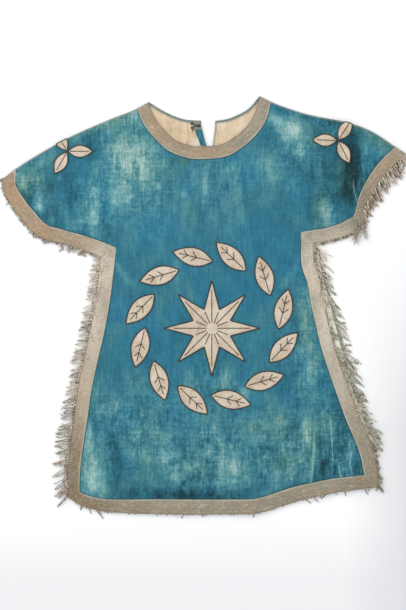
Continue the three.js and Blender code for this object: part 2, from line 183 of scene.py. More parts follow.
def resample(points, step, closed=False):
    """The same line with its points a step apart."""
    p = np.asarray(points, float)
    if closed:
        p = np.vstack([p, p[:1]])
    along = np.concatenate([[0], np.cumsum(np.linalg.norm(np.diff(p, axis=0), axis=1))])
    count = max(2, int(round(along[-1] / step)))
    at = np.linspace(0, along[-1], count + 1)
    new = np.stack([np.interp(at, along, p[:, k]) for k in range(p.shape[1])], axis=1)
    return new[:-1] if closed else new


def outline_of(edges, step):
    """One closed loop of all the edges."""
    return np.vstack([smooth_edge(stations, step)[:-1] for stations in edges.values()])


def distance_to(points, line, closed=True):
    """Least distance from each point to a line, and how far along the line that is."""
    p = np.asarray(points, float)
    a = np.asarray(line, float)
    b = np.roll(a, -1, axis=0) if closed else a[1:]
    a = a if closed else a[:-1]
    length = np.linalg.norm(b - a, axis=1)
    start = np.concatenate([[0], np.cumsum(length)[:-1]])
    best = np.full(len(p), 1e9)
    along = np.zeros(len(p))
    for a_i, b_i, l_i, s_i in zip(a, b, length, start):
        if l_i < 1e-9:
            continue
        t = np.clip(((p - a_i) @ (b_i - a_i)) / l_i ** 2, 0, 1)
        d = np.linalg.norm(p - a_i - t[:, None] * (b_i - a_i), axis=1)
        nearer = d < best
        best[nearer] = d[nearer]
        along[nearer] = s_i + t[nearer] * l_i
    return best, along


def is_inside(points, loop):
    """True for each point inside a closed loop."""
    p = np.asarray(points, float)
    inside = np.zeros(len(p), bool)
    for a, b in zip(loop, np.roll(loop, -1, axis=0)):
        crosses = (a[1] > p[:, 1]) != (b[1] > p[:, 1])
        rise = b[1] - a[1] if b[1] != a[1] else 1e-9
        inside ^= crosses & (p[:, 0] < (b[0] - a[0]) * (p[:, 1] - a[1]) / rise + a[0])
    return inside


def left_normals(line):
    """The unit normal to the left of a line at each of its points."""
    ahead = np.gradient(np.asarray(line, float), axis=0)
    ahead /= np.linalg.norm(ahead, axis=1)[:, None] + 1e-12
    return np.stack([-ahead[:, 1], ahead[:, 0]], axis=1)


def corner_shift(before, after, width_before, width_after):
    """From a corner to the corner of its inset, with a width for each of the two edges."""
    turn = before[0] * after[1] - before[1] * after[0]
    return np.array([
        width_before * after[1] - width_after * before[1],
        width_after * before[0] - width_before * after[0],
    ]) / turn


def value_along(rows, place):
    """A table of places and values, read at any place."""
    places, values = zip(*rows)
    return np.interp(place, places, values)


def inset_run(edges, name, step, short=0.0):
    """The inner edge of the braid along one edge, ending on true mitres, or a little short of it."""
    names = list(edges)
    spot = names.index(name)
    run = smooth_edge(edges[name], step)
    place = np.linspace(0, 1, len(run))
    width = value_along(BRAID_WIDTH[name], place) - short
    inner = run + width[:, None] * left_normals(run)
    clear, _ = distance_to(inner, run, closed=False)
    ends = []
    for other, at_start in ((names[spot - 1], True), (names[(spot + 1) % len(names)], False)):
        near = smooth_edge(edges[other], step)
        other_width = 0.0
        if other in BRAIDED:
            other_width = BRAID_WIDTH[other][-1 if at_start else 0][1] - short
            clear = np.minimum(clear, distance_to(inner, near, closed=False)[0])
        before, after = (near, run) if at_start else (run, near)
        own_width = width[0] if at_start else width[-1]
        widths = (other_width, own_width) if at_start else (own_width, other_width)
        corner = run[0] if at_start else run[-1]
        shift = corner_shift(left_normals(before)[-1], left_normals(after)[0], *widths)
        ends.append(corner + shift)
    inner = inner[clear > width * 0.97]
    return np.vstack([ends[0], inner, ends[1]])


def strip_loop(edges, name, step):
    """The closed outline of the braid along one edge."""
    outer = smooth_edge(edges[name], step)
    inner = resample(inset_run(edges, name, step), step)
    return np.vstack([outer, inner[::-1]])


FRONT = outline_of(EDGES, 4.0)
BACK = outline_of(BACK_EDGES, 4.0)
SHOULDERS = [smooth_edge(EDGES[name], 6.0) for name in ("shoulder_left", "shoulder_right")]


# ------------------------------------------------------------------ heights

def ridge_height(points, table):
    total = np.zeros(len(points))
    for start, end, width, height in table:
        away, _ = distance_to(points, [start, end], closed=False)
        total += height * np.exp(-(away / width) ** 2)
    return total


def smoothstep(x, low, high):
    t = np.clip((x - low) / (high - low), 0, 1)
    return t * t * (3 - 2 * t)


BACK_COARSE = outline_of(BACK_EDGES, 12.0)


def back_height(points):
    """Underside of the back: it rests in the middle, and the braid sewn under it lifts its rim."""
    away, _ = distance_to(points, BACK_COARSE)
    lift = RIM_LIFT * (1 - smoothstep(away, GALLOON_WIDTH + 5, RIM_REACH))
    return np.where(is_inside(points, BACK_COARSE), lift, RIM_LIFT)


def lining_height(points):
    return back_height(points) + VELVET + LAYER_GAP


def front_height(points):
    """Underside of the front, with its folds, rolled down to the back along the shoulders."""
    flat = lining_height(points) + LINING + LAYER_GAP
    z = flat + ridge_height(points, FOLDS) + ridge_height(points, CREASES)
    for shoulder in SHOULDERS:
        away, _ = distance_to(points, shoulder, closed=False)
        t = np.clip(away / 9.0, 0, 1)
        z -= 2.6 * (1 - np.sqrt(1 - (1 - t) ** 2))
    return z


def front_top(points):
    return front_height(points) + VELVET


# ------------------------------------------------------------------ meshes

def to_frame(points, z):
    """Garment millimetres to metres in the frame."""
    flat = (np.asarray(points, float) - MIDDLE) * MM
    return np.column_stack([flat, np.broadcast_to(np.asarray(z, float) * MM, len(flat))])


def make_mesh(name, vertices, faces, material):
    mesh = bpy.data.meshes.new(name)
    mesh.from_pydata(np.asarray(vertices).tolist(), [], faces)
    mesh.shade_smooth()
    mesh.materials.append(material)
    piece = bpy.data.objects.new(name, mesh)
    bpy.context.scene.collection.objects.link(piece)
    return piece


def set_values(piece, name, values):
    layer = piece.data.attributes.new(name, "FLOAT", "POINT")
    layer.data.foreach_set("value", np.asarray(values, np.float32))


def set_uv(piece, u, v):
    """A UV map from one u and v for each vertex."""
    mesh = piece.data
    corners = np.empty(len(mesh.loops), np.int32)
    mesh.loops.foreach_get("vertex_index", corners)
    uv = np.column_stack([np.asarray(u)[corners], np.asarray(v)[corners]])
    mesh.uv_layers.new(name="Along").data.foreach_set("uv", uv.astype(np.float32).ravel())


def fill(loop, spacing, fine=None, fine_spacing=None):
    """Triangles over a closed loop. Where fine(points) is true, they are smaller."""
    loop = np.asarray(loop, float)
    low, high = loop.min(axis=0), loop.max(axis=0)

    def lattice(pitch):
        rows = np.arange(low[1], high[1], pitch * 0.866)
        columns = np.arange(low[0], high[0] + pitch, pitch)
        x, y = np.meshgrid(columns, rows)
        x = x + (np.arange(len(rows)) % 2)[:, None] * pitch / 2
        points = np.column_stack([x.ravel(), y.ravel()])
        points = points[is_inside(points, loop)]
        away, _ = distance_to(points, loop)
        return points[away > pitch * 0.55]

    inner = lattice(spacing)
    if fine is not None:
        dense = lattice(fine_spacing)
        inner = np.vstack([inner[~fine(inner)], dense[fine(dense)]])
    every = np.vstack([loop, inner])
    ring = [(i, (i + 1) % len(loop)) for i in range(len(loop))]
    made = delaunay_2d_cdt([Vector(p) for p in every.tolist()], ring, [], 1, 1e-4)
    points = np.array([(v.x, v.y) for v in made[0]])
    return points, np.array(made[2])


def boundary_edges(faces):
    """The directed edges that only one triangle has."""
    edges = np.vstack([faces[:, [0, 1]], faces[:, [1, 2]], faces[:, [2, 0]]])
    size = int(faces.max()) + 1
    forward = edges[:, 0] * size + edges[:, 1]
    backward = edges[:, 1] * size + edges[:, 0]
    return edges[~np.isin(forward, backward)]


def slab(name, points, faces, top, thickness, material, round_edge=0.0):
    """A closed sheet from its triangles seen from above, the height of its top, and its thickness."""
    a, b, c = (points[faces[:, k]] for k in range(3))
    turn = (b[:, 0] - a[:, 0]) * (c[:, 1] - a[:, 1]) - (b[:, 1] - a[:, 1]) * (c[:, 0] - a[:, 0])
    faces = np.where((turn < 0)[:, None], faces[:, ::-1], faces)
    rim = boundary_edges(faces)
    top = np.array(top, float)
    bottom = top - thickness
    top[np.unique(rim)] -= round_edge
    count = len(points)
    sides = np.column_stack([rim[:, 1], rim[:, 0], rim[:, 0] + count, rim[:, 1] + count])
    every = np.vstack([to_frame(points, top), to_frame(points, bottom)])
    polygons = faces.tolist() + (faces[:, ::-1] + count).tolist() + sides.tolist()
    piece = make_mesh(name, every, polygons, material)
    mesh = piece.data
    pairs = np.empty(2 * len(mesh.edges), np.int32)
    mesh.edges.foreach_get("vertices", pairs)
    pairs = np.sort(pairs.reshape(-1, 2), axis=1)
    both = np.vstack([rim, rim + count])
    both = np.sort(both, axis=1)
    size = 2 * count
    crisp = np.isin(pairs[:, 0] * size + pairs[:, 1], both[:, 0] * size + both[:, 1])
    mesh.attributes.new("sharp_edge", "BOOLEAN", "EDGE").data.foreach_set("value", crisp)
    return piece


def tubes(name, paths, radii, material, sides=5, tone=None):
    """Round threads along paths, as one mesh. paths is (threads, points, 3) in metres."""
    paths = np.asarray(paths, float)
    threads, count, _ = paths.shape
    radii = np.broadcast_to(np.asarray(radii, float), (threads, count))
    ahead = np.gradient(paths, axis=1)
    ahead /= np.linalg.norm(ahead, axis=2, keepdims=True) + 1e-12
    side = np.cross(ahead, np.array([0.0, 0.0, 1.0]))
    side /= np.linalg.norm(side, axis=2, keepdims=True) + 1e-9
    lift = np.cross(side, ahead)
    angle = np.arange(sides) * 2 * math.pi / sides
    around = (
        side[:, :, None] * np.cos(angle)[None, None, :, None]
        + lift[:, :, None] * np.sin(angle)[None, None, :, None]
    )
    vertices = paths[:, :, None] + around * radii[:, :, None, None]
    vertices = vertices.reshape(-1, 3)
    ring = np.arange(sides)
    after = (ring + 1) % sides
    step = np.arange(count - 1)[:, None] * sides
    quads = np.stack([step + ring, step + after, step + sides + after, step + sides + ring], -1)
    quads = quads.reshape(-1, 4)[None] + (np.arange(threads) * count * sides)[:, None, None]
    base = np.arange(threads)[:, None] * count * sides
    caps = (base + ring[::-1]).tolist() + (base + (count - 1) * sides + ring).tolist()
    piece = make_mesh(name, vertices, quads.reshape(-1, 4).tolist() + caps, material)
    if tone is not None:
        tone = np.broadcast_to(np.asarray(tone, float).reshape(threads, -1), (threads, count))
        set_values(piece, "tone", np.repeat(tone.ravel(), sides))
    return piece


# ------------------------------------------------------------------ materials

def srgb(r, g, b):
    """A colour given as 0 to 255, as linear light."""
    def linear(c):
        c /= 255
        return c / 12.92 if c <= 0.04045 else ((c + 0.055) / 1.055) ** 2.4
    return (linear(r), linear(g), linear(b), 1.0)


class Nodes:
    """Short calls for building one material's node tree."""

    def __init__(self, name, roughness, metallic=0.0, sheen=0.0, sheen_tint=None):
        self.material = bpy.data.materials.new(name)
        self.material.use_nodes = True
        self.tree = self.material.node_tree
        self.shader = self.tree.nodes["Principled BSDF"]
        self.shader.inputs["Roughness"].default_value = roughness
        self.shader.inputs["Metallic"].default_value = metallic
        self.shader.inputs["Sheen Weight"].default_value = sheen
        self.shader.inputs["Sheen Roughness"].default_value = 0.45
        if sheen_tint:
            self.shader.inputs["Sheen Tint"].default_value = sheen_tint
        self.place = self.add("ShaderNodeTexCoord").outputs["Object"]

    def add(self, kind, **settings):
        node = self.tree.nodes.new(kind)
        for key, value in settings.items():
            setattr(node, key, value)
        return node

    def put(self, socket, value):
        if isinstance(value, bpy.types.NodeSocket):
            self.tree.links.new(value, socket)
        else:
            socket.default_value = value

    def attribute(self, name):
        return self.add("ShaderNodeAttribute", attribute_name=name).outputs["Fac"]

    def uv(self):
        return self.add("ShaderNodeUVMap", uv_map="Along").outputs["UV"]

    def scaled(self, vector, x, y, z=1.0):
        node = self.add("ShaderNodeMapping")
        self.put(node.inputs["Vector"], vector)
        node.inputs["Scale"].default_value = (x, y, z)
        return node.outputs["Vector"]

    def noise(self, vector, scale, detail=2.0, rough=0.5, distort=0.0):
        node = self.add("ShaderNodeTexNoise")
        self.put(node.inputs["Vector"], vector)
        node.inputs["Scale"].default_value = scale
        node.inputs["Detail"].default_value = detail
        node.inputs["Roughness"].default_value = rough
        node.inputs["Distortion"].default_value = distort
        return node.outputs["Fac"]

    def wave(self, vector, scale, distort=0.0, direction="X"):
        node = self.add("ShaderNodeTexWave", bands_direction=direction)
        self.put(node.inputs["Vector"], vector)
        node.inputs["Scale"].default_value = scale
        node.inputs["Distortion"].default_value = distort
        node.inputs["Detail Scale"].default_value = 2.0
        return node.outputs["Fac"]

    def math(self, operation, a, b=0.0, c=0.0, clamp=False):
        node = self.add("ShaderNodeMath", operation=operation, use_clamp=clamp)
        for socket, value in zip(node.inputs, (a, b, c)):
            self.put(socket, value)
        return node.outputs[0]

    def span(self, value, low, high, to_low=0.0, to_high=1.0):
        """Maps low..high to to_low..to_high, held at both ends."""
        node = self.add("ShaderNodeMapRange")
        self.put(node.inputs["Value"], value)
        node.inputs["From Min"].default_value = low
        node.inputs["From Max"].default_value = high
        node.inputs["To Min"].default_value = to_low
        node.inputs["To Max"].default_value = to_high
        return node.outputs["Result"]

    def mix(self, amount, a, b, blend="MIX"):
        node = self.add("ShaderNodeMix", data_type="RGBA", blend_type=blend)
        self.put(node.inputs[0], amount)
        self.put(node.inputs[6], a)
        self.put(node.inputs[7], b)
        return node.outputs[2]

    def ramp(self, value, *stops):
        """Colours by value. Each stop is a place from 0 to 1 and its colour."""
        node = self.add("ShaderNodeValToRGB")
        self.put(node.inputs["Fac"], value)
        stages = node.color_ramp.elements
        for place, _ in stops[2:]:
            stages.new(place)
        for stage, (place, colour) in zip(stages, stops):
            stage.position = place
            stage.color = colour
        return node.outputs["Color"]

    def total(self, *parts):
        """Sum of several values, each one times its own number."""
        result = None
        for value, factor in parts:
            if result is None:
                result = self.math("MULTIPLY", value, factor)
            else:
                result = self.math("MULTIPLY_ADD", value, factor, result)
        return result

    def colour(self, value):
        self.put(self.shader.inputs["Base Color"], value)

    def roughness(self, value):
        self.put(self.shader.inputs["Roughness"], value)

    def bump(self, *layers):
        """Stacks bumps. Each is a height and its depth in metres."""
        normal = None
        for height, depth in layers:
            node = self.add("ShaderNodeBump")
            node.inputs["Strength"].default_value = 1.0
            node.inputs["Distance"].default_value = depth
            self.put(node.inputs["Height"], height)
            if normal is not None:
                self.put(node.inputs["Normal"], normal)
            normal = node.outputs["Normal"]
        self.put(self.shader.inputs["Normal"], normal)


def velvet_material():
    """Worn silk velvet: its pile lies in pale and darker patches of teal and blue, with painted shade in its folds and
    along the braid and painted highlights along its crease ridges.
    """
    n = Nodes("worn_velvet", 0.85, sheen=0.04, sheen_tint=srgb(150, 200, 210))
    n.shader.inputs["Specular IOR Level"].default_value = 0.22
    wear_and_highlight, green, shade = (n.attribute(name) for name in ("wear_and_highlight", "green", "shade"))
    crush, rim, line, seam = (n.attribute(name) for name in ("crush", "rim", "line", "seam"))
    clouds = n.noise(n.place, 10, 2, 0.5, 0.3)
    drift = n.noise(n.scaled(n.place, 1.0, 0.6), 26, 3, 0.6, 0.3)
    patches = n.noise(n.scaled(n.place, 1.0, 0.72), 62, 3, 0.55, 0.3)
    flecks = n.noise(n.scaled(n.place, 1.0, 0.8), 170, 2, 0.5, 0.2)
    streaks = n.noise(n.scaled(n.place, 1.0, 0.1), 260, 2, 0.6)
    rows = n.noise(n.scaled(n.place, 0.12, 1.0), 240, 2, 0.6)
    grain = n.noise(n.place, 900, 2, 0.6)
    pile = n.total((patches, 1.8), (flecks, 1.9), (drift, 1.4), (streaks, 0.6), (rows, 1.1))
    pile = n.math("SUBTRACT", pile, 3.4)
    brushed = n.noise(n.scaled(n.place, 1.0, 0.45), 330, 2, 0.55, 0.2)
    rubbed = n.total((patches, 0.5), (brushed, 0.9), (streaks, 0.5), (rows, 0.3))
    # This attribute carries pale rubbed pile and a painted highlight on crease ridges.
    worn = n.math("MULTIPLY", wear_and_highlight, n.span(rubbed, 0.85, 1.35, 0.6, 1.16))
    # Painted shade: the shade attribute darkens folds and hollows, partly deeper pile too.
    shade_and_deep_pile = n.math("MULTIPLY", shade, n.span(patches, 0.3, 0.6, 1.15, 0.7))
    calm = n.math("MULTIPLY", crush, n.span(wear_and_highlight, 0.2, 0.9, 1.0, 0.55))
    tone = n.total((n.math("MULTIPLY", calm, pile), 0.34), (worn, 0.66), (shade_and_deep_pile, -0.46),
                   (streaks, 0.22), (drift, 0.24))
    tone = n.math("ADD", tone, 0.18, clamp=True)
    base = n.ramp(
        tone, (0.0, srgb(14, 46, 54)), (0.2, srgb(26, 82, 98)), (0.42, srgb(44, 113, 138)),
        (0.6, srgb(70, 138, 152)), (0.8, srgb(118, 168, 174)), (1.0, srgb(160, 196, 194)),
    )
    faded = n.ramp(
        tone, (0.0, srgb(20, 48, 48)), (0.25, srgb(42, 86, 88)), (0.45, srgb(66, 116, 112)),
        (0.62, srgb(98, 142, 132)), (0.8, srgb(136, 168, 156)), (1.0, srgb(172, 194, 178)),
    )
    teal = n.total((green, 1.0), (n.span(clouds, 0.4, 0.62), 0.3), (n.span(drift, 0.5, 0.66), 0.25))
    base = n.mix(n.math("MINIMUM", teal, 1.0), base, faded)
    base = n.mix(n.span(grain, 0.35, 0.65, 0.0, 0.22), base, srgb(22, 70, 88))
    # Painted shadow: a dark line on the velvet along the braid's inner edge, where the braid casts shade.
    braid_shadow = n.math("SUBTRACT", 1.0, n.math("ABSOLUTE", n.math("DIVIDE", rim, 3.0)), clamp=True)
    base = n.mix(n.math("MULTIPLY", braid_shadow, 0.8), base, srgb(24, 48, 54))
    # Painted highlight along the bright creases, partly rubbed pile on their ridges.
    crest_highlight = n.math("SUBTRACT", 1.0, n.math("ABSOLUTE", n.math("DIVIDE", line, 1.8)), clamp=True)
    crest_highlight = n.math("MULTIPLY", crest_highlight, n.span(flecks, 0.35, 0.6, 0.35, 1.0))
    base = n.mix(n.math("MULTIPLY", crest_highlight, 0.7), base, srgb(150, 190, 184))
    edge = n.math("SUBTRACT", 1.6, n.math("DIVIDE", seam, 2.4), clamp=True)
    edge = n.math("MULTIPLY", edge, n.span(flecks, 0.35, 0.6, 0.6, 0.95))
    base = n.mix(edge, base, srgb(136, 138, 126))
    n.colour(base)
    n.roughness(n.span(tone, 0.3, 0.9, 0.92, 0.7))
    n.bump((patches, 0.0008), (flecks, 0.0004), (streaks, 0.0004), (grain, 0.0003))
    return n.material


def lining_material():
    n = Nodes("cream_lining", 0.85, sheen=0.08)
    clouds = n.noise(n.scaled(n.place, 1.0, 0.5), 30, 3, 0.6)
    spots = n.noise(n.place, 90, 3, 0.6)
    wrinkle_lines = n.noise(n.scaled(n.place, 1.0, 0.25), 120, 3, 0.6, 0.6)
    weave = n.math("MULTIPLY", n.wave(n.place, 170, 0.6, "X"), n.wave(n.place, 170, 0.6, "Y"))
    base = n.mix(n.span(clouds, 0.35, 0.65), srgb(200, 176, 142), srgb(220, 203, 174))
    base = n.mix(n.span(spots, 0.58, 0.75, 0, 0.5), base, srgb(206, 162, 128))
    # Painted shade: darker along the wrinkle lines, where the lining's small creases are shaded.
    base = n.mix(n.span(wrinkle_lines, 0.45, 0.28, 0, 0.7), base, srgb(164, 138, 106))
    base = n.mix(n.span(weave, 0, 1, 0, 0.15), base, srgb(176, 150, 116))
    base = n.mix(n.attribute("pale"), base, srgb(212, 220, 204))
    base = n.mix(n.attribute("grey"), base, srgb(112, 114, 102))
    base = n.mix(n.attribute("stain"), base, srgb(104, 48, 30))
    n.colour(base)
    n.bump((clouds, 0.004), (wrinkle_lines, 0.0026), (weave, 0.0003))
    return n.material


def galloon_material():
    """Woven metal-thread braid. The map's u runs along it and v across it, in millimetres."""
    n = Nodes("galloon", 0.6, metallic=0.1)
    uv = n.uv()
    across = n.add("ShaderNodeSeparateXYZ")
    n.put(across.inputs[0], uv)
    inward = across.outputs[1]
    warp = n.wave(uv, 0.115, 0.4, "Y")
    ribs = n.wave(uv, 0.095, 0.8, "X")
    fade = n.noise(n.scaled(uv, 0.012, 0.05), 1.0, 3, 0.6)
    blotch = n.noise(n.scaled(uv, 0.045, 0.09), 1.0, 4, 0.65, 0.5)
    dabs = n.noise(n.scaled(uv, 0.13, 0.22), 1.0, 3, 0.6, 0.4)
    threads = n.noise(n.scaled(uv, 0.05, 0.9), 1.0, 3, 0.6)
    picks = n.noise(n.scaled(uv, 0.8, 0.12), 1.0, 2, 0.6)
    base = n.mix(n.span(fade, 0.38, 0.62), srgb(158, 143, 121), srgb(141, 141, 123))
    base = n.mix(n.attribute("cream"), base, srgb(230, 217, 198))
    base = n.mix(n.attribute("warm"), base, srgb(186, 146, 104))
    base = n.mix(n.attribute("brown"), base, srgb(126, 101, 74))
    base = n.mix(n.span(blotch, 0.52, 0.7, 0, 0.5), base, srgb(212, 188, 168))
    base = n.mix(n.span(blotch, 0.46, 0.3, 0, 0.5), base, srgb(150, 140, 112))
    base = n.mix(n.span(dabs, 0.52, 0.7, 0, 0.4), base, srgb(206, 202, 180))
    base = n.mix(n.span(dabs, 0.42, 0.28, 0, 0.5), base, srgb(124, 104, 82))
    base = n.mix(n.span(threads, 0.52, 0.75, 0, 0.4), base, srgb(120, 106, 86))
    base = n.mix(n.span(picks, 0.55, 0.75, 0, 0.3), base, srgb(226, 214, 196))
    base = n.mix(n.span(ribs, 0.0, 0.6, 0.34, 0.0), base, srgb(106, 92, 74))
    base = n.mix(n.span(warp, 0.0, 0.5, 0.26, 0.0), base, srgb(106, 92, 74))
    selvedge = n.span(inward, 23.4, 25.4)
    base = n.mix(n.math("MULTIPLY", selvedge, 0.35), base, srgb(190, 196, 178))
    outer = n.span(inward, 3.0, 0.6)
    base = n.mix(n.math("MULTIPLY", outer, 0.55), base, srgb(112, 94, 74))
    n.colour(base)
    grid = n.math("ADD", n.math("MULTIPLY", warp, 0.5), n.math("MULTIPLY", ribs, 0.5))
    n.bump((blotch, 0.002), (grid, 0.0009), (threads, 0.0004))
    return n.material


def thread_material(name, dark, light, roughness=0.7):
    """A twisted thread: each one's tone moves it between two colours."""
    n = Nodes(name, roughness, metallic=0.1)
    patch = n.noise(n.place, 120, 2, 0.6)
    blend = n.math("ADD", n.attribute("tone"), n.math("SUBTRACT", patch, 0.5), clamp=True)
    n.colour(n.mix(blend, dark, light))
    n.bump((n.noise(n.place, 700, 2, 0.5), 0.0004))
    return n.material


def applique_material():
    n = Nodes("cream_applique", 0.8, sheen=0.15)
    weave_x = n.wave(n.place, 300, 0.4, "X")
    weave_y = n.wave(n.place, 300, 0.4, "Y")
    soil = n.noise(n.place, 45, 4, 0.65)
    fine = n.noise(n.place, 260, 3, 0.6)
    base = n.mix(n.span(soil, 0.35, 0.65), srgb(206, 186, 160), srgb(228, 214, 194))
    base = n.mix(n.span(soil, 0.4, 0.28, 0, 0.5), base, srgb(186, 164, 140))
    base = n.mix(n.span(fine, 0.5, 0.75, 0, 0.3), base, srgb(178, 166, 146))
    n.colour(base)
    n.bump((n.math("ADD", weave_x, weave_y), 0.0003), (fine, 0.0005))
    return n.material


def metal_material():
    n = Nodes("dark_hook", 0.4, metallic=0.85)
    spots = n.noise(n.place, 500, 3, 0.6)
    n.colour(n.mix(n.span(spots, 0.4, 0.7), srgb(66, 60, 54), srgb(104, 98, 88)))
    n.bump((spots, 0.0002))
    return n.material


velvet = velvet_material()
lining = lining_material()
galloon = galloon_material()
applique = applique_material()
metal = metal_material()
fringe_thread = thread_material("fringe_thread", srgb(104, 88, 72), srgb(222, 210, 190))
grey_thread = thread_material("grey_fringe_thread", srgb(90, 83, 68), srgb(210, 204, 182))
dark_cord = thread_material("dark_cord", srgb(38, 26, 22), srgb(96, 70, 52))
mint_edge = thread_material("pale_edge", srgb(138, 136, 118), srgb(186, 190, 172))


# ------------------------------------------------------------------ velvet

# Faded, worn and shaded places. Columns: x, y, reach across, reach up, turn in degrees, amount.
WEAR = [
    (-158, 736, 62, 84, 12, 0.60),
    (-128, 708, 14, 42, 0, 0.86),
    (-176, 672, 40, 50, 0, 0.46),
    (-225, 625, 14, 60, 0, 0.70),
    (-186, 716, 22, 50, 0, 0.34),
    (-376, 690, 30, 40, -30, 0.45),
    (-340, 640, 12, 30, 0, 0.45),
    (-352, 712, 50, 12, 32, 0.35),
    (205, 390, 12, 70, 8, 0.44),
    (-186, 645, 12, 14, 0, 0.55),
    (-143, 815, 24, 24, 20, 0.50),
    (-212, 797, 84, 7, 25, 0.34),
    (-96, 672, 8, 10, 0, 0.60),
    (-43, 656, 8, 10, 0, 0.45),
    (0, 680, 9, 44, 0, 0.50),
    (-262, 612, 24, 44, 0, 0.30),
    (30, 620, 26, 50, 0, 0.15),
    (150, 806, 34, 14, -34, 0.62),
    (176, 784, 24, 34, 14, 0.85),
    (196, 748, 13, 36, 10, 0.55),
    (204, 716, 10, 20, 10, 0.30),
    (130, 700, 30, 50, 0, 0.25),
    (234, 664, 9, 46, 3, 0.24),
    (252, 618, 12, 32, 8, 0.57),
    (-56, 506, 7, 30, 0, 0.30),
    (-25, 252, 14, 40, 0, 0.45),
    (40, 276, 12, 22, 0, 0.45),
    (80, 238, 12, 26, 0, 0.40),
    (212, 300, 18, 44, 8, 0.45),
    (214, 438, 6, 36, 10, 0.40),
    (206, 176, 12, 40, 0, 0.45),
    (-180, 214, 60, 54, 0, 0.24),
    (-229, 74, 35, 56, -8, 0.76),
    (-242, 156, 18, 60, 4, 0.50),
    (-262, 250, 12, 90, 4, 0.30),
    (-102, 122, 60, 22, 0, 0.40),
    (-58, 84, 18, 16, 0, 0.50),
    (-28, 98, 20, 14, 15, 0.40),
    (8, 130, 14, 24, 10, 0.45),
    (56, 92, 26, 58, 0, 0.42),
    (62, 66, 36, 12, 0, 0.35),
    (165, 110, 46, 44, 0, 0.24),
    (-90, 170, 170, 60, 0, 0.20),
    (80, 170, 120, 70, 0, 0.16),
    (250, 180, 60, 90, 0, 0.14),
    (-120, 640, 90, 60, 0, 0.16),
    (60, 700, 140, 50, 0, 0.14),
    (296, 128, 10, 44, 0, 0.30),
    (280, 72, 44, 10, 6, 0.35),
    (342, 742, 24, 22, 0, 0.25),
]
# How far the pile is crushed into patches.
CRUSH = [
    (-150, 720, 84, 110, 10, 1.00),
    (-228, 625, 44, 80, 0, 0.85),
    (-370, 660, 64, 80, -30, 0.80),
    (-190, 806, 110, 22, 26, 0.90),
    (250, 806, 120, 24, -20, 0.95),
    (180, 750, 60, 80, 0, 0.80),
    (248, 640, 34, 90, 0, 0.65),
    (350, 700, 60, 80, 0, 0.80),
    (30, 680, 70, 70, 0, 0.55),
    (-240, 110, 50, 130, 0, 0.60),
    (-150, 180, 130, 90, 0, 0.90),
    (0, 110, 150, 120, 0, 1.00),
    (160, 120, 120, 110, 0, 1.00),
    (280, 130, 90, 120, 0, 1.00),
    (214, 300, 46, 120, 0, 0.80),
    (214, 430, 30, 80, 0, 0.50),
    (10, 250, 90, 60, 0, 0.65),
]
GREEN = [
    (-372, 676, 40, 60, -30, 0.85),
    (-190, 812, 110, 22, 26, 0.70),
    (300, 796, 130, 20, -24, 0.75),
    (-150, 735, 60, 80, 0, 0.45),
    (-43, 725, 16, 9, 0, 1.10),
    (-80, 708, 60, 30, 0, 0.35),
    (240, 650, 24, 70, 0, 0.60),
    (292, 700, 34, 80, 0, 0.85),
    (236, 780, 60, 36, -20, 0.60),
    (208, 390, 22, 80, 8, 0.60),
    (-60, 120, 220, 110, 0, 0.34),
    (180, 120, 220, 110, 0, 0.42),
    (290, 100, 60, 60, 0, 0.30),
    (30, 640, 120, 60, 0, 0.22),
    (-30, 250, 30, 50, 0, 0.55),
    (40, 270, 20, 40, 0, 0.45),
    (-200, 250, 60, 90, 0, 0.30),
    (165, 110, 50, 50, 0, 0.60),
    (-180, 60, 60, 30, 0, 0.55),
    (-240, 90, 30, 60, 0, 0.35),
    (296, 140, 30, 60, 0, 0.40),
    (350, 690, 30, 50, -25, 0.45),
]
# Painted shade: darker places, mostly the shade of folds and hollows painted into the pile, partly deeper pile.
FOLD_SHADE_AND_DEEP_PILE = [
    (299, 694, 28, 66, 0, 1.05),
    (318, 728, 34, 40, -14, 0.40),
    (284, 640, 34, 40, 0, 0.30),
    (276, 744, 40, 44, 0, 0.45),
    (258, 704, 40, 80, 0, 0.40),
    (316, 676, 20, 46, -14, 0.72),
    (332, 676, 20, 60, -28, 0.72),
    (-368, 640, 30, 40, 0, 0.26),
    (-230, 748, 26, 44, 0, 0.42),
    (-296, 650, 44, 80, 0, 0.24),
    (-345, 606, 70, 16, 22, 0.30),
    (-272, 640, 18, 60, 0, 0.30),
    (-44, 40, 150, 15, 0, 0.80),
    (-10, 70, 16, 40, 0, 0.16),
    (60, 50, 60, 10, 0, 0.40),
    (100, 56, 36, 18, 14, 0.40),
    (230, 68, 60, 10, 12, 0.45),
    (-191, 104, 22, 58, 0, 0.62),
    (262, 130, 34, 50, 0, 0.30),
    (236, 140, 6, 60, 2, 0.35),
    (242, 86, 7, 34, 0, 0.30),
    (266, 92, 6, 30, 0, 0.35),
    (250, 150, 5, 40, 0, 0.25),
    (312, 150, 8, 30, 12, 0.25),
    (320, 80, 26, 40, 20, 0.42),
    (286, 190, 24, 80, 14, 0.36),
    (-73, 186, 34, 22, 0, 0.20),
    (-185, 800, 60, 6, 27, 0.12),
    (190, 818, 60, 10, -16, 0.26),
    (-134, 775, 6, 16, 30, 0.30),
]


CUTS = {}
BRAID_CUTS = []


def painted(points, table):
    """How strongly the patches of a table cover each point."""
    total = np.zeros(len(points))
    for x, y, across, up, turn, amount in table:
        angle = math.radians(turn)
        away = points - (x, y)
        u = (away[:, 0] * math.cos(angle) + away[:, 1] * math.sin(angle)) / across
        v = (away[:, 1] * math.cos(angle) - away[:, 0] * math.sin(angle)) / up
        total = np.maximum(total, amount * np.exp(-(u * u + v * v) * 1.1))
    return total


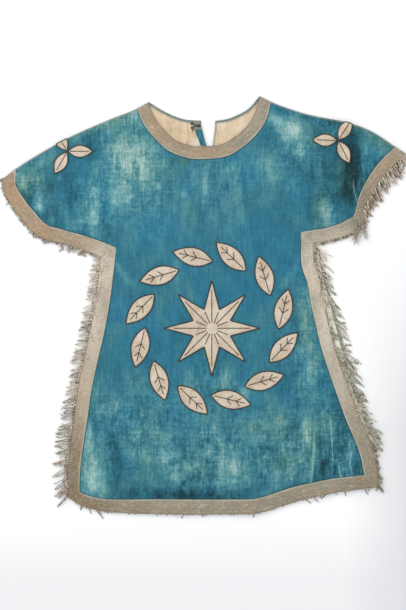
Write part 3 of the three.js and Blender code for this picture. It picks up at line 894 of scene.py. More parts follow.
def rim_distance(points):
    """How far each point is from the front braid's inner edge."""
    least = np.full(len(points), 1e9)
    for name in BRAIDED:
        run = smooth_edge(EDGES[name], 6.0)
        away, along = distance_to(points, run, closed=False)
        width = value_along(BRAID_WIDTH[name], along / (6.0 * (len(run) - 1)))
        least = np.minimum(least, away - width)
    return least


# Fine bright creases: a painted highlight along the ridge of each fold, partly pile rubbed there.
BRIGHT_LINES = [
    [(222, 150), (222, 112), (217, 66)],
    [(257, 192), (260, 150), (262, 112)],
    [(273, 108), (275, 84), (280, 72)],
    [(303, 678), (305, 660), (312, 636)],
    [(207, 190), (209, 150)],
    [(296, 150), (294, 118), (300, 92)],
    [(-133, 736), (-131, 700)],
]


def line_distance(points):
    """Distance to the nearest bright crease, less than nothing on one of its sides."""
    nearest = np.full(len(points), 20.0)
    for line in BRIGHT_LINES:
        away, _ = distance_to(points, line, closed=False)
        start, way = np.array(line[0]), np.subtract(line[-1], line[0])
        side = np.sign((points[:, 0] - start[0]) * way[1] - (points[:, 1] - start[1]) * way[0])
        nearer = away < np.abs(nearest)
        nearest[nearer] = (away * side)[nearer]
    return nearest


def paint_velvet(piece, points, creases, seams, green=0.0):
    """How the pile looks at each point. Seams are lines that have a greyed edge."""
    # Raised creases are painted paler, partly a painted highlight and partly rubbed pile; troughs are painted darker,
    # a painted shade.
    wear_and_highlight = painted(points, WEAR) + 0.16 * np.clip(creases, 0, 1.5)
    shade = painted(points, FOLD_SHADE_AND_DEEP_PILE) + 0.2 * np.clip(-creases, 0, 2)
    edges = [distance_to(points, line, closed=False)[0] for line in seams]
    layers = {
        "wear_and_highlight": wear_and_highlight,
        "green": np.maximum(painted(points, GREEN), green),
        "shade": np.clip(shade, 0, 1.1),
        "crush": 0.22 + 0.78 * painted(points, CRUSH),
        "rim": np.clip(rim_distance(points), -20, 20),
        "line": line_distance(points),
        "seam": np.clip(np.min(edges, axis=0), 0, 20),
    }
    for name, values in layers.items():
        set_values(piece, name, np.tile(values, 2))


def cut_loop(loop, keep, x):
    """The part of a closed loop on one side of a vertical line."""
    loop = np.asarray(loop, float)
    found = []
    for a, b in zip(loop, np.roll(loop, -1, axis=0)):
        if keep(a):
            found.append(a)
        if keep(a) != keep(b):
            t = (x - a[0]) / (b[0] - a[0])
            found.append(a + t * (b - a))
    return resample(np.array(found), 4.0, closed=True)


def add_front():
    """The front panel and its two pieced sleeve tips."""
    def is_left(p):
        return p[0] < SEAM_LEFT - SEAM_GAP / 2

    def is_right(p):
        return p[0] > SEAM_RIGHT + SEAM_GAP / 2 and p[1] > SLEEVE_FLOOR

    left = cut_loop(FRONT, is_left, SEAM_LEFT - SEAM_GAP / 2)
    right = cut_loop(FRONT, is_right, SEAM_RIGHT + SEAM_GAP / 2)
    body = cut_loop(FRONT, lambda p: p[0] > SEAM_LEFT + SEAM_GAP / 2, SEAM_LEFT + SEAM_GAP / 2)

    def in_body(p):
        return p[0] < SEAM_RIGHT - SEAM_GAP / 2 or p[1] < SLEEVE_FLOOR

    body = cut_loop(body, in_body, SEAM_RIGHT - SEAM_GAP / 2)
    pieces = []
    for name, loop, green in (
        ("front_panel", body, 0.0), ("front_sleeve_left", left, 0.3), ("front_sleeve_right", right, 0.1),
    ):
        CUTS[name] = loop
        points, faces = fill(loop, 4.0)
        piece = slab(name + "_velvet", points, faces, front_top(points), 1.2, velvet, 0.15)
        paint_velvet(piece, points, ridge_height(points, CREASES), SHOULDERS, green)
        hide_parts(name)
        pieces.append(piece)
    return pieces


def half_loop(loop, side, inset=0.0):
    """One half of the back, cut down the centre and along the slit."""
    if inset:
        loop = loop + inset * left_normals_closed(loop)
    sign = -1 if side == "left" else 1
    centre = CENTRE_BACK + sign * SEAM_GAP / 2
    half = cut_loop(loop, lambda p: sign * (p[0] - centre) > 0, centre)
    slit = SLIT[:3] if side == "left" else SLIT[3:]
    edge = np.array(slit, float) + (sign * SEAM_GAP / 2, 0)
    order = edge[np.argsort(edge[:, 1])]
    moved = half.copy()
    near = np.abs(half[:, 0] - centre) < 40
    limit = np.interp(half[:, 1], order[:, 1], order[:, 0])
    outside = near & (half[:, 1] > order[0, 1]) & (sign * (half[:, 0] - limit) < 0)
    moved[outside, 0] = limit[outside]
    return resample(moved, 4.0, closed=True)


def left_normals_closed(loop):
    ahead = np.roll(loop, -1, axis=0) - np.roll(loop, 1, axis=0)
    ahead /= np.linalg.norm(ahead, axis=1)[:, None] + 1e-12
    return np.stack([-ahead[:, 1], ahead[:, 0]], axis=1)


def add_back():
    pieces = []
    for half in ("left", "right"):
        loop = half_loop(BACK, half)
        CUTS[f"back_{half}"] = loop
        points, faces = fill(loop, 9.0)
        top = back_height(points) + VELVET
        piece = slab(f"back_{half}_velvet", points, faces, top, VELVET, velvet, 0.3)
        side = smooth_edge(BACK_EDGES["side_right"], 6.0)
        rims = [smooth_edge(BACK_EDGES["neck"], 6.0), np.array(SLIT, float), side, side - (2.5, 1)]
        paint_velvet(piece, points, np.zeros(len(points)), rims)
        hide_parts(f"back_{half}")
        pieces.append(piece)
    return pieces


LINING_STAINS = [
    (-24.5, 788, 2.6, 6, 0, 1.0),
    (-20, 776, 5, 9, 0, 0.3),
    (-62, 790, 16, 10, 0, 0.15),
    (-70, 806, 10, 12, 0, 0.15),
    (-14, 790, 2, 5, 0, 0.4),
]
# Creases of the lining where it shows in the neck. Columns as for the folds.
LINING_CREASES = [
    ((-96, 812), (-40, 800), 5, 1.4),
    ((-84, 796), (-36, 790), 4, 1.1),
    ((-30, 790), (-44, 756), 4, 1.3),
    ((-22, 786), (-30, 752), 3, 1.0),
    ((-70, 826), (-52, 790), 4, 0.9),
    ((-60, 780), (-20, 768), 5, 0.9),
    ((30, 806), (38, 760), 3, 1.2),
    ((44, 800), (50, 770), 3, 1.0),
    ((60, 812), (62, 784), 4, 0.9),
    ((80, 826), (78, 800), 4, 1.0),
    ((26, 800), (46, 796), 3, 0.8),
]


def in_neck(points):
    return (points[:, 1] > 735) & (np.abs(points[:, 0]) < 125)


def add_lining():
    pieces = []
    for side in ("left", "right"):
        loop = half_loop(BACK, side, LINING_INSET)
        CUTS[f"lining_{side}"] = loop
        points, faces = fill(loop, 9.0, in_neck, 2.5)
        wrinkles = 1.3 * ridge_height(points, LINING_CREASES)
        away, _ = distance_to(points, loop)
        wrinkles *= smoothstep(away, 0, 8)
        top = lining_height(points) + LINING + np.clip(wrinkles, 0, 2.2)
        piece = slab(f"lining_{side}_cloth", points, faces, top, LINING, lining, 0.5)
        rim = np.exp(-(away / 3.0) ** 2)
        layers = {
            "stain": painted(points, LINING_STAINS),
            # pale: a painted highlight, the lining at the right side painted paler and cooler as if overexposed there;
            # also paler beside the slit.
            "pale": painted(points, [(270, 400, 60, 230, 15, 0.9), (-13, 775, 5, 22, -20, 0.6)]),
            "grey": np.where(points[:, 1] > 740, 0.9 * rim, 0),
        }
        for name, values in layers.items():
            set_values(piece, name, np.tile(values, 2))
        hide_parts(f"lining_{side}")
        pieces.append(piece)
    return pieces


def add_facing():
    """The strip of velvet down the left edge of the back opening."""
    left = [(-25, 806), (-21.5, 790), (-8.6, 756)]
    right = [(-11, 808), (-7.4, 794), (2.4, 756)]
    loop = resample(np.array(left + right[::-1], float), 2.0, closed=True)
    CUTS["slit_facing"] = loop
    points, faces = fill(loop, 2.0)
    top = lining_height(points) + LINING + 1.3
    piece = slab("slit_facing_velvet", points, faces, top, 1.0, velvet, 0.4)
    for name, value in (("wear_and_highlight", 0.08), ("rim", 20.0), ("line", 20.0), ("crush", 0.4)):
        set_values(piece, name, np.full(2 * len(points), value))
    grey = np.clip((points[:, 1] - 782) / 10, 0, 1)
    set_values(piece, "seam", np.tile(8 - 7 * grey, 2))
    set_values(piece, "green", np.tile(0.2 + 0.8 * grey, 2))
    # Painted shade along the facing's left edge.
    edge, _ = distance_to(points, np.array(left, float), closed=False)
    set_values(piece, "shade", np.tile(0.5 * np.exp(-edge / 1.5), 2))
    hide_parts("slit_facing")
    return piece


# ------------------------------------------------------------------ braid

WARM = [
    (-390, 650, 40, 60, 0, 0.9), (-262, 240, 24, 90, 0, 0.4), (-340, 585, 60, 40, 0, 0.7), (-270, 560, 50, 30, 0, 0.4),
    (372, 712, 40, 40, 0, 0.5), (-100, 800, 30, 50, 0, 0.6), (-60, 768, 50, 20, 0, 0.45),
    (0, 740, 60, 20, 0, 0.5),
]
BROWN = [
    (-270, 110, 22, 70, 0, 0.8), (-270, 50, 34, 34, 0, 1.0), (-230, 16, 50, 20, 0, 0.95),
    (-150, 10, 60, 20, 0, 0.45), (60, 10, 140, 16, 0, 0.15), (200, 30, 80, 20, 0, 0.3),
    (330, 60, 60, 30, 0, 0.5), (350, 120, 20, 60, 0, 0.4), (330, 640, 20, 50, 0, 0.45),
]
CREAM = [
    (-214, 500, 40, 60, 0, 1.0), (-232, 400, 30, 120, 0, 0.9), (-250, 290, 30, 110, 0, 0.6),
    (-150, 560, 40, 20, 0, 0.4), (228, 500, 40, 70, 0, 1.0), (250, 400, 30, 120, 0, 0.9),
    (280, 300, 30, 100, 0, 0.6), (270, 570, 50, 20, 0, 0.5), (95, 830, 24, 40, 0, 0.2),
]


def add_braid(edges, prefix, name, height, spacing, cut=None):
    loop = strip_loop(edges, name, spacing)
    if cut is not None:
        loop = cut(loop)
    points, faces = fill(loop, spacing)
    run = smooth_edge(edges[name], 4.0)
    away, along = distance_to(points, run, closed=False)
    width = value_along(BRAID_WIDTH[name], along / (4.0 * (len(run) - 1)))
    across = away / width
    selvedge = np.exp(-((across - 0.05) / 0.05) ** 2) + np.exp(-((across - 0.95) / 0.05) ** 2)
    waves = 0.18 * np.sin(along / 9.0) * np.sin(along / 23.0 + 1)
    top = height(points) + GALLOON + 0.35 * selvedge + waves
    piece = slab(prefix + name + "_woven", points, faces, top, GALLOON * 0.8, galloon, 0.35)
    set_uv(piece, np.tile(along, 2), np.tile(27 * across, 2))
    for layer, table in (("warm", WARM), ("brown", BROWN), ("cream", CREAM)):
        set_values(piece, layer, np.tile(painted(points, table), 2))
    way_round = np.linalg.norm(loop - np.roll(loop, 1, axis=0), axis=1).sum()
    flat = (max(w for _, w in BRAID_WIDTH[name]) + 1, way_round / 2)
    BRAID_CUTS.append((piece, loop, flat))
    return piece


def add_front_braids():
    pieces = []
    for name in BRAIDED:
        piece = add_braid(EDGES, "braid_front_", name, lambda p: front_top(p) + 0.1, 2.6)
        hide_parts("braid_front_" + name)
        pieces.append(piece)
    return pieces


def add_back_braids():
    pieces = []
    for name in BRAIDED:
        if name == "neck":
            for side, keep, x in (
                ("neck_left", lambda p: p[0] < -8, -8),
                ("neck_right", lambda p: p[0] > 21, 21),
            ):
                cut = lambda loop: cut_loop(loop, keep, x)
                piece = add_braid(BACK_EDGES, "braid_back_", name, under_back, 4.0, cut)
                piece.name = f"braid_back_{side}_woven"
                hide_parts("braid_back_" + side)
                pieces.append(piece)
            continue
        piece = add_braid(BACK_EDGES, "braid_back_", name, under_back, 4.0)
        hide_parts("braid_back_" + name)
        pieces.append(piece)
    return pieces


def under_back(points):
    return np.full(len(points), 0.1)


def add_pale_edges():
    """The braid's inner selvedge, a pale cord against the velvet."""
    pieces = []
    for name in BRAIDED:
        line = resample(inset_run(EDGES, name, 3.0, 0.9), 3.0)
        line = line[is_inside(line, FRONT)]
        z = front_top(line) + 0.75
        path = to_frame(line, z)[None]
        tone = 0.45 + 0.4 * np.sin(np.linspace(0, 37, len(line)))
        piece = tubes(f"braid_front_{name}_selvedge", path, 0.6 * MM, mint_edge, 6, tone)
        pieces.append(piece)
    return pieces


# ------------------------------------------------------------------ fringe

# For each fringed edge, from its start to its end, rows of a place from 0 to 1 and a value.
# reach: how far it goes out from the edge. aim: the way its threads point, in degrees.
# lapped: how far its threads start inside the edge. paler: how its tone shifts along the edge.
# back_share: how many of its threads the back has. kept: how many are left, along the edge.
# Layers: kind, pitch, thread radius, size of its crimps or rings, curl and spread in degrees,
# tone, and the shortest thread as a share of the reach.
FRINGE = {
    "side_right": dict(
        reach=[
            (0, 9), (0.04, 7), (0.1, 4), (0.15, 8), (0.2, 22), (0.3, 24), (0.42, 20), (0.5, 13),
            (0.8, 12), (0.93, 16), (1, 8),
        ],
        back_reach=[
            (0, 2), (0.2, 4), (0.32, 14), (0.42, 20), (0.55, 22), (0.75, 21), (0.88, 18),
            (0.95, 14), (1, 6),
        ],
        back_share=0.75,
        kept=[(0, 1), (0.5, 1), (0.72, 0.6), (1, 0.6)],
        paler=[(0, -0.4), (0.1, -0.3), (0.2, 0), (0.6, 0.06), (0.75, -0.1), (1, 0)],
        aim=[(0, -70), (0.1, -40), (0.4, -38), (0.8, -40), (1, -50)],
        lapped=4.0,
        layers=[
            ("ring", 12.0, 0.8, 2.6, 12, 12, 0.56, 0.6),
            ("hairpin", 9.4, 0.85, 2.1, 10, 11, 0.6, 0.7),
        ],
    ),
    "sleeve_right": dict(
        reach=[(0, 5), (0.3, 4), (0.42, 8), (0.5, 14), (0.6, 23), (0.75, 29), (0.9, 30), (1, 20)],
        aim=[(0, -120), (0.3, -80), (0.55, -68), (0.8, -58), (1, -62)],
        lapped=2.0,
        layers=[
            ("yarn", 5.4, 1.4, 0.5, 9, 8, 0.54, 0.75),
            # This nearly black yarn layer is painted shade: it stands for the shadow between the cords.
            ("yarn", 4.6, 1.0, 0.6, 14, 12, 0.02, 0.35),
            ("hairpin", 16.0, 1.05, 1.9, 12, 10, 0.4, 0.6),
        ],
    ),
    "sleeve_left": dict(
        reach=[(0, 4), (0.3, 5), (0.45, 8), (0.6, 10), (0.75, 13), (0.92, 14), (1, 10)],
        aim=[(0, 190), (0.25, 215), (0.5, 236), (0.8, 216), (1, 200)],
        lapped=1.5,
        layers=[
            ("yarn", 7.0, 0.95, 0.4, 60, 26, 0.4, 0.4),
            ("ring", 14.0, 0.8, 1.6, 30, 20, 0.45, 0.3),
        ],
    ),
    "side_left": dict(
        reach=[
            (0, 13), (0.05, 20), (0.21, 22), (0.37, 25), (0.53, 25), (0.61, 27), (0.69, 31),
            (0.85, 32), (0.93, 30), (1, 24),
        ],
        aim=[(0, 202), (0.15, 188), (0.5, 188), (0.8, 192), (0.94, 204), (1, 226)],
        paler=[(0, 0.26), (0.35, 0.1), (0.7, -0.08), (1, -0.2)],
        lapped=1.0,
        layers=[
            ("hairpin", 10.2, 0.85, 2.4, 5, 7, 0.5, 0.8),
            ("yarn", 16.0, 0.8, 0.7, 22, 18, 0.42, 0.6),
        ],
        back_share=0.2,
    ),
}
YARN_STEP = 0.85

# Threads on their own. Columns: x, y, the way they point in degrees, length, radius.
STRAYS = [
    (-254, 21, -78, 13, 0.9), (-250, 18, -120, 9, 0.8), (-237, 14, -96, 13, 0.9),
    (-222, 10, -84, 15, 1.0), (-216, 9, -102, 20, 1.1), (-200, 8, -70, 6, 0.9),
    (-44, 2, -120, 12, 0.8), (-8, 2, -80, 9, 0.8), (2, 2, -110, 9, 0.8), (102, 3, -88, 10, 0.9),
    (206, 32, -62, 15, 0.9), (225, 37, -90, 14, 0.9), (238, 40, -105, 6, 0.9),
    (247, 41, -106, 12, 1.1), (268, 45, -60, 6, 0.9), (284, 48, -20, 12, 1.0),
    (329, 52, -88, 13, 1.1), (333, 52, -30, 7, 1.0), (354, 55, -100, 8, 1.0),
    (358, 62, -76, 12, 1.2), (356, 72, 60, 14, 1.3), (357, 66, 84, 16, 1.3), (355, 84, 96, 14, 1.2),
    (351, 104, -48, 16, 1.1), (349, 110, -60, 12, 1.0), (346, 134, -22, 22, 1.1),
    (340, 150, -12, 22, 1.1), (332, 178, 12, 16, 1.3), (322, 204, 4, 14, 1.0),
    (-415, 684, 150, 11, 0.8), (-414, 690, 200, 12, 0.8), (-402, 640, 215, 9, 0.8),
]
# Threads lying back over the braid. Columns: x, y, reach across, reach up, way, length, tone,
# count.
LAPPED = [
    (-206, 516, 6, 12, -94, 26, 0.9, 16),
    (-212, 474, 5, 30, -94, 26, 0.9, 16),
    (-222, 420, 5, 30, -98, 20, 0.9, 14),
    (-233, 360, 4, 30, -102, 18, 0.9, 10),
    (-200, 530, 6, 5, -120, 14, 0.9, 6),
    (228, 520, 10, 22, -66, 26, 0.9, 16),
    (240, 536, 12, 10, -50, 20, 0.9, 8),
    (242, 468, 8, 34, -70, 24, 0.9, 16),
    (254, 412, 7, 34, -72, 20, 0.9, 10),
    (321, 598, 8, 13, -96, 34, 0.36, 20),
    (312, 584, 7, 7, -96, 26, 0.30, 10),
]


def axis_lines(roots, aims, lengths, curl, count):
    """The middle line of each thread, which wanders and curls, and the angle it has there."""
    many = len(roots)
    t = np.linspace(0, 1, count)[None]
    s = lengths[:, None] * t
    shift = rng.uniform(0, 2 * math.pi, (many, 1))
    wander = curl * np.sin(2 * math.pi * s / rng.uniform(16, 30, (many, 1)) + shift)
    hook = rng.normal(0, curl, (many, 1)) * t ** 2 * 1.3
    angle = np.radians(aims[:, None] + (wander - wander[:, :1]) + hook)
    step = lengths[:, None] / (count - 1)
    x = roots[:, :1] + (np.cumsum(np.cos(angle), axis=1) - np.cos(angle[:, :1])) * step
    y = roots[:, 1:] + (np.cumsum(np.sin(angle), axis=1) - np.sin(angle[:, :1])) * step
    return x, y, angle


def falling(z_start, z_end, out):
    """Heights of threads that leave the edge and come down to rest."""
    return z_start[:, None] + (z_end - z_start)[:, None] * smoothstep(out, 0, 0.7)


def in_rows(x, y, z):
    flat = np.stack([x, y], axis=2).reshape(-1, 2)
    return to_frame(flat, np.maximum(z.ravel(), 1.3)).reshape(*x.shape, 3)


def yarn_paths(roots, aims, lengths, crimp, curl, z_start, z_end):
    """Crinkled single threads."""
    many = len(roots)
    count = max(6, int(lengths.max() / YARN_STEP))
    x, y, angle = axis_lines(roots, aims, lengths, curl, count)
    t = np.linspace(0, 1, count)[None]
    phase = rng.uniform(0, 2 * math.pi, (many, 1))
    turn = 2 * math.pi * lengths[:, None] * t / rng.uniform(5.0, 7.5, (many, 1)) + phase
    size = crimp * rng.uniform(0.5, 1.25, (many, 1)) * np.minimum(1, 4 * t)
    x = x - np.sin(angle) * size * np.sin(turn)
    y = y + np.cos(angle) * size * np.sin(turn)
    return in_rows(x, y, falling(z_start, z_end, t) + size * 0.6 * np.cos(turn))


def ring_paths(roots, aims, lengths, size, curl, z_start, z_end):
    """Threads that run out in a chain of small rings."""
    many = len(roots)
    pitch = 2.3 * size
    count = int(lengths.max() / pitch * 12) + 8
    x, y, _ = axis_lines(roots, aims, lengths, curl, count)
    t = np.linspace(0, 1, count)[None]
    turn = 2 * math.pi * lengths[:, None] * t / (pitch * rng.uniform(0.85, 1.25, (many, 1)))
    turn = (turn + rng.uniform(0, 6, (many, 1))) * rng.choice([-1, 1], (many, 1))
    ring = size * rng.uniform(0.65, 1.2, (many, 1)) * (1 + 0.25 * np.sin(9 * t + turn / 5))
    x = x + ring * np.cos(turn)
    y = y + ring * np.sin(turn)
    return in_rows(x, y, falling(z_start, z_end, t) + 0.7 * np.sin(turn + 1))


def hairpin_paths(roots, aims, lengths, size, curl, z_start, z_end):
    """Threads that go out, turn round and come back beside themselves."""
    many, steps = len(roots), 24
    x, y, angle = axis_lines(roots, aims, lengths, curl, steps)
    t = np.linspace(0, 1, 44)
    out = np.sin(math.pi * t)
    low = np.minimum((out * (steps - 1)).astype(int), steps - 2)
    part = out * (steps - 1) - low
    x, y, angle = (v[:, low] * (1 - part) + v[:, low + 1] * part for v in (x, y, angle))
    twist = rng.uniform(0, 0.3 * curl, (many, 1)) * out[None]
    width = size * rng.uniform(0.65, 1.25, (many, 1)) * (1 + 0.5 * out[None] ** 2)
    side = width * np.cos(math.pi * t)[None]
    x = x - np.sin(angle) * side * np.cos(twist)
    y = y + np.cos(angle) * side * np.cos(twist)
    return in_rows(x, y, falling(z_start, z_end, out[None]) + 0.5 * side * np.sin(twist) + 0.4)


KINDS = {"yarn": yarn_paths, "ring": ring_paths, "hairpin": hairpin_paths}


def yarn_piece(name, paths, radius, tone, material):
    many, count, _ = paths.shape
    taper = rng.uniform(0.8, 1.15, (many, 1)) * radius * MM * np.ones((1, count))
    shade = tone + rng.normal(0, 0.2, (many, 1)) + 0.14 * np.sin(np.linspace(0, 14, count))[None]
    piece = tubes(name, paths, taper, material, 5, np.clip(shade, 0, 1))
    return piece


def add_fringe(edges, prefix, name, z_start, z_rest, share=1.0):
    """One edge's fringe, in layers."""
    look = FRINGE[name]
    reach = look.get("back_reach", look["reach"]) if edges is BACK_EDGES else look["reach"]
    material = grey_thread if name == "side_right" else fringe_thread
    line = smooth_edge(edges[name], 1.0)
    outward = -left_normals(line)
    length = len(line)
    pieces = []
    for i, (kind, pitch, radius, size, curl, spread, tone, shortest) in enumerate(look["layers"]):
        many = int(length / pitch * share)
        loose = min(0.4, spread / 25)
        place = (np.arange(many) + 0.5 + rng.uniform(-loose, loose, many)) / many
        kept = value_along(look.get("kept", [(0, 1), (1, 1)]), place)
        place = place[rng.uniform(size=many) < kept]
        many = len(place)
        index = (place * (length - 1)).astype(int)
        aims = value_along(look["aim"], place) + rng.normal(0, spread, many)
        ways = np.column_stack([np.cos(np.radians(aims)), np.sin(np.radians(aims))])
        gain = np.clip((ways * outward[index]).sum(axis=1), 0.5, 1)
        lengths = value_along(reach, place) / gain * rng.uniform(shortest, 1.05, many)
        lengths += look["lapped"]
        roots = line[index] - ways * look["lapped"] * rng.uniform(0.2, 1, (many, 1))
        start = z_start(line[index]) + rng.uniform(-0.2, 0.9, many)
        rest = z_rest + rng.uniform(0, 2.4, many)
        paths = KINDS[kind](roots, aims, lengths, size, curl, start, rest)
        tones = (tone + value_along(look.get("paler", [(0, 0), (1, 0)]), place))[:, None]
        piece = yarn_piece(f"{prefix}{name}_{kind}s_{i + 1}", paths, radius, tones, material)
        pieces.append(piece)
    return pieces


# The looped cord that a fringe hangs from. Rows: how far out it lies, and the rings' half size.
HEADING = {"side_left": [(1.0, 2.2), (4.4, 2.1)], "side_right": [(1.0, 1.9)]}


def add_heading(edges, prefix, name, z_at):
    pieces = []
    for i, (out, ring) in enumerate(HEADING[name]):
        line = smooth_edge(edges[name], 0.6)
        outward = -left_normals(line)
        s = np.arange(len(line)) * 0.6
        reach = value_along(FRINGE[name]["reach"], s / s[-1])
        room = np.clip(reach / 20, 0.2, 1)
        wander = 1.0 * np.sin(s / 23 + 2 * i) + 0.8 * np.sin(s / 9.7 + i)
        turn = 2 * math.pi * s / (6.3 + 0.9 * i) + 1.6 * np.sin(s / 17 + i)
        ahead = np.gradient(line, axis=0)
        ahead /= np.linalg.norm(ahead, axis=1)[:, None]
        across = room * (out + wander + ring * np.cos(turn))
        loops = line + outward * across[:, None] + ahead * (1.3 * ring * np.sin(turn))[:, None]
        z = z_at(line) - 0.5 * i + 0.7 * np.sin(turn + 1)
        tone = (0.34 if name == "side_right" else 0.5) + 0.2 * np.sin(s / 9 + i)
        material = grey_thread if name == "side_right" else fringe_thread
        path = to_frame(loops, np.maximum(z, 1.2))[None]
        piece = tubes(f"{prefix}{name}_heading_{i + 1}", path, 0.8 * MM, material, 5, tone)
        pieces.append(piece)
    return pieces


def add_loose_threads():
    """Stray threads along the edges, and the ones that lie back over the braid."""
    table = np.array(STRAYS)
    many = len(table)
    start, rest = np.full(many, 4.5), np.full(many, 2.0)
    paths = yarn_paths(table[:, :2], table[:, 2], table[:, 3], 0.6, 24, start, rest)
    strays = tubes("stray_threads", paths, table[:, 4:] * MM * 0.9, fringe_thread, 5,
                   rng.uniform(0.05, 0.4, (many, 1)))
    rows = np.vstack([np.tile(row[:7], (row[7], 1)) for row in LAPPED])
    many = len(rows)
    roots = rows[:, :2] + rows[:, 2:4] * rng.uniform(-1, 1, (many, 2))
    aims = rows[:, 4] + rng.normal(0, 15, many)
    lengths = rows[:, 5] * rng.uniform(0.6, 1.15, many)
    over = front_top(roots) + GALLOON + rng.uniform(0.6, 1.2, many)
    paths = yarn_paths(roots, aims, lengths, 0.9, 16, over, over - 0.2)
    lapped = yarn_piece("lapped_threads", paths, 0.62, rows[:, 6:], fringe_thread)
    return [strays, lapped]


def add_hem_stubs():
    """The cut ends of the hem's worn fringe: short stubs all along it."""
    line = smooth_edge(EDGES["hem"], 1.0)
    outward = -left_normals(line)
    many = int(len(line) / 4.2)
    index = np.sort(rng.integers(0, len(line), many))
    aims = np.degrees(np.arctan2(outward[index, 1], outward[index, 0])) + rng.normal(0, 40, many)
    lengths = rng.uniform(1.5, 5.0, many)
    roots = line[index] - outward[index] * 1.2
    start = front_top(line[index]) + rng.uniform(-1.5, 0.4, many)
    paths = yarn_paths(roots, aims, lengths, 0.4, 20, start, start - 1.5)
    return yarn_piece("hem_stubs", paths, 0.9, 0.35, fringe_thread)


def low_edge(points):
    return np.full(len(points), 2.3)


def add_fringes():
    pieces = [add_hem_stubs(), *add_loose_threads()]
    for name in FRINGE:
        rest = 4.6 if name == "side_right" else 2.6
        top = add_fringe(EDGES, "fringe_front_", name, lambda p: front_top(p) - 0.2, rest)
        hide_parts("fringe_front_" + name)
        share = FRINGE[name].get("back_share", 0.4)
        low = add_fringe(BACK_EDGES, "fringe_back_", name, low_edge, 1.4, share)
        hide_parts("fringe_back_" + name)
        pieces += [*top, *low]
        if name in HEADING:
            pieces += add_heading(EDGES, "fringe_front_", name, lambda p: front_top(p) - 0.6)
            pieces += add_heading(BACK_EDGES, "fringe_back_", name, low_edge)
    return pieces


# ------------------------------------------------------------------ ornaments

EMBLEM = dict(x=14, y=382, star_out=98, star_in=41, ring=152, leaves=12)
LEAF = dict(length=84, width=37, lean=0.5)
SPRIG_LEAF = dict(length=50, width=25)
SPRIGS = {"left": (-282, 744, 2.1), "right": (272, 766, 1.0)}


def leaf_side(length, width, side, count=24):
    """One side of a leaf, from its stem at the left to its tip."""
    t = np.linspace(0, 1, count)
    stem, bulge, tip = -length / 2, -length * 0.05, length / 2
    x = (1 - t) ** 2 * stem + 2 * t * (1 - t) * bulge + t ** 2 * tip
    y = 2 * t * (1 - t) * side * width
    return np.column_stack([x, y])


def placed(points, x, y, angle):
    c, s = math.cos(angle), math.sin(angle)
    return np.asarray(points) @ np.array([[c, s], [-s, c]]) + (x, y)


def star_loop():
    angles = np.arange(16) * math.pi / 8
    radii = np.where(np.arange(16) % 2, EMBLEM["star_in"], EMBLEM["star_out"])
    corners = np.column_stack([radii * np.cos(angles), radii * np.sin(angles)])
    return corners + (EMBLEM["x"], EMBLEM["y"])


def ornament_top(points, loop):
    away, _ = distance_to(points, loop)
    return front_top(points) + 0.3 + 0.9 + 0.9 * (1 - np.exp(-away / 5))


def rope_paths(line, z, radius, pitch, closed=True):
    """The two strands of a twisted cord along a line."""
    fine = resample(line, 1.0, closed)
    if closed:
        fine = np.vstack([fine, fine[:2]])
    ahead = np.gradient(fine, axis=0)
    ahead /= np.linalg.norm(ahead, axis=1)[:, None] + 1e-9
    side = np.stack([-ahead[:, 1], ahead[:, 0]], axis=1)
    s = np.arange(len(fine)) * 1.0
    height = z(fine)
    strands = []
    for start in (0, math.pi):
        turn = 2 * math.pi * s / pitch + start
        flat = fine + side * (radius * np.cos(turn))[:, None]
        strands.append(to_frame(flat, height + radius * np.sin(turn)))
    return np.array(strands)


def add_cord(name, line, z, closed=True, radius=0.6, strand=0.68):
    paths = rope_paths(line, z, radius, 5.5, closed)
    tone = np.array([0.25, 0.45])[:, None] + 0.2 * np.sin(np.arange(paths.shape[1]) / 6.0)
    piece = tubes(name, paths, strand * MM, dark_cord, 6, tone)
    return piece


def add_ornament(node, loop, veins, flat=None):
    """One applied shape, its couched outline and the cords laid over it."""
    edge = resample(loop, 2.4, closed=True)
    points, faces = fill(edge, 2.4)
    top = ornament_top(points, edge)
    piece = slab(node + "_cloth", points, faces, top, 1.0, applique, 0.5)
    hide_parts(node)
    cords = [add_cord(node + "_outline", edge, lambda p: front_top(p) + 1.5)]
    for i, vein in enumerate(veins):
        vein = resample(np.array(vein, float), 1.5)
        vein = vein[is_inside(vein, edge)]
        if len(vein) < 3:
            continue
        height = lambda p: ornament_top(p, edge) + 0.4
        cords.append(add_cord(f"{node}_vein_{i + 1}", np.array(vein, float), height, False, 0.45, 0.5))
    return piece, cords, loop, flat


def inside_front(loop):
    """Draws in the points of a loop that pass over the shoulder's edge."""
    loop = np.array(loop, float)
    outside = ~is_inside(loop, FRONT)
    for i in np.flatnonzero(outside):
        nearest = FRONT[np.argmin(np.linalg.norm(FRONT - loop[i], axis=1))]
        loop[i] = nearest
    return loop


def leaf_with_veins(size, x, y, angle):
    length, width = size["length"], size["width"]
    lower = leaf_side(length, width, -1)
    upper = leaf_side(length, width, 1)
    loop = placed(np.vstack([lower, upper[-2:0:-1]]), x, y, angle)
    midrib = placed([(-length * 0.42, 0), (length * 0.34, 0)], x, y, angle)
    veins = [midrib]
    for share in (-0.1, 0.12):
        for side in (-1, 1):
            start = (length * share, 0)
            end = (length * (share + 0.12), side * width * (0.26 - 0.3 * max(0, share)))
            veins.append(placed([start, end], x, y, angle))
    return loop, veins


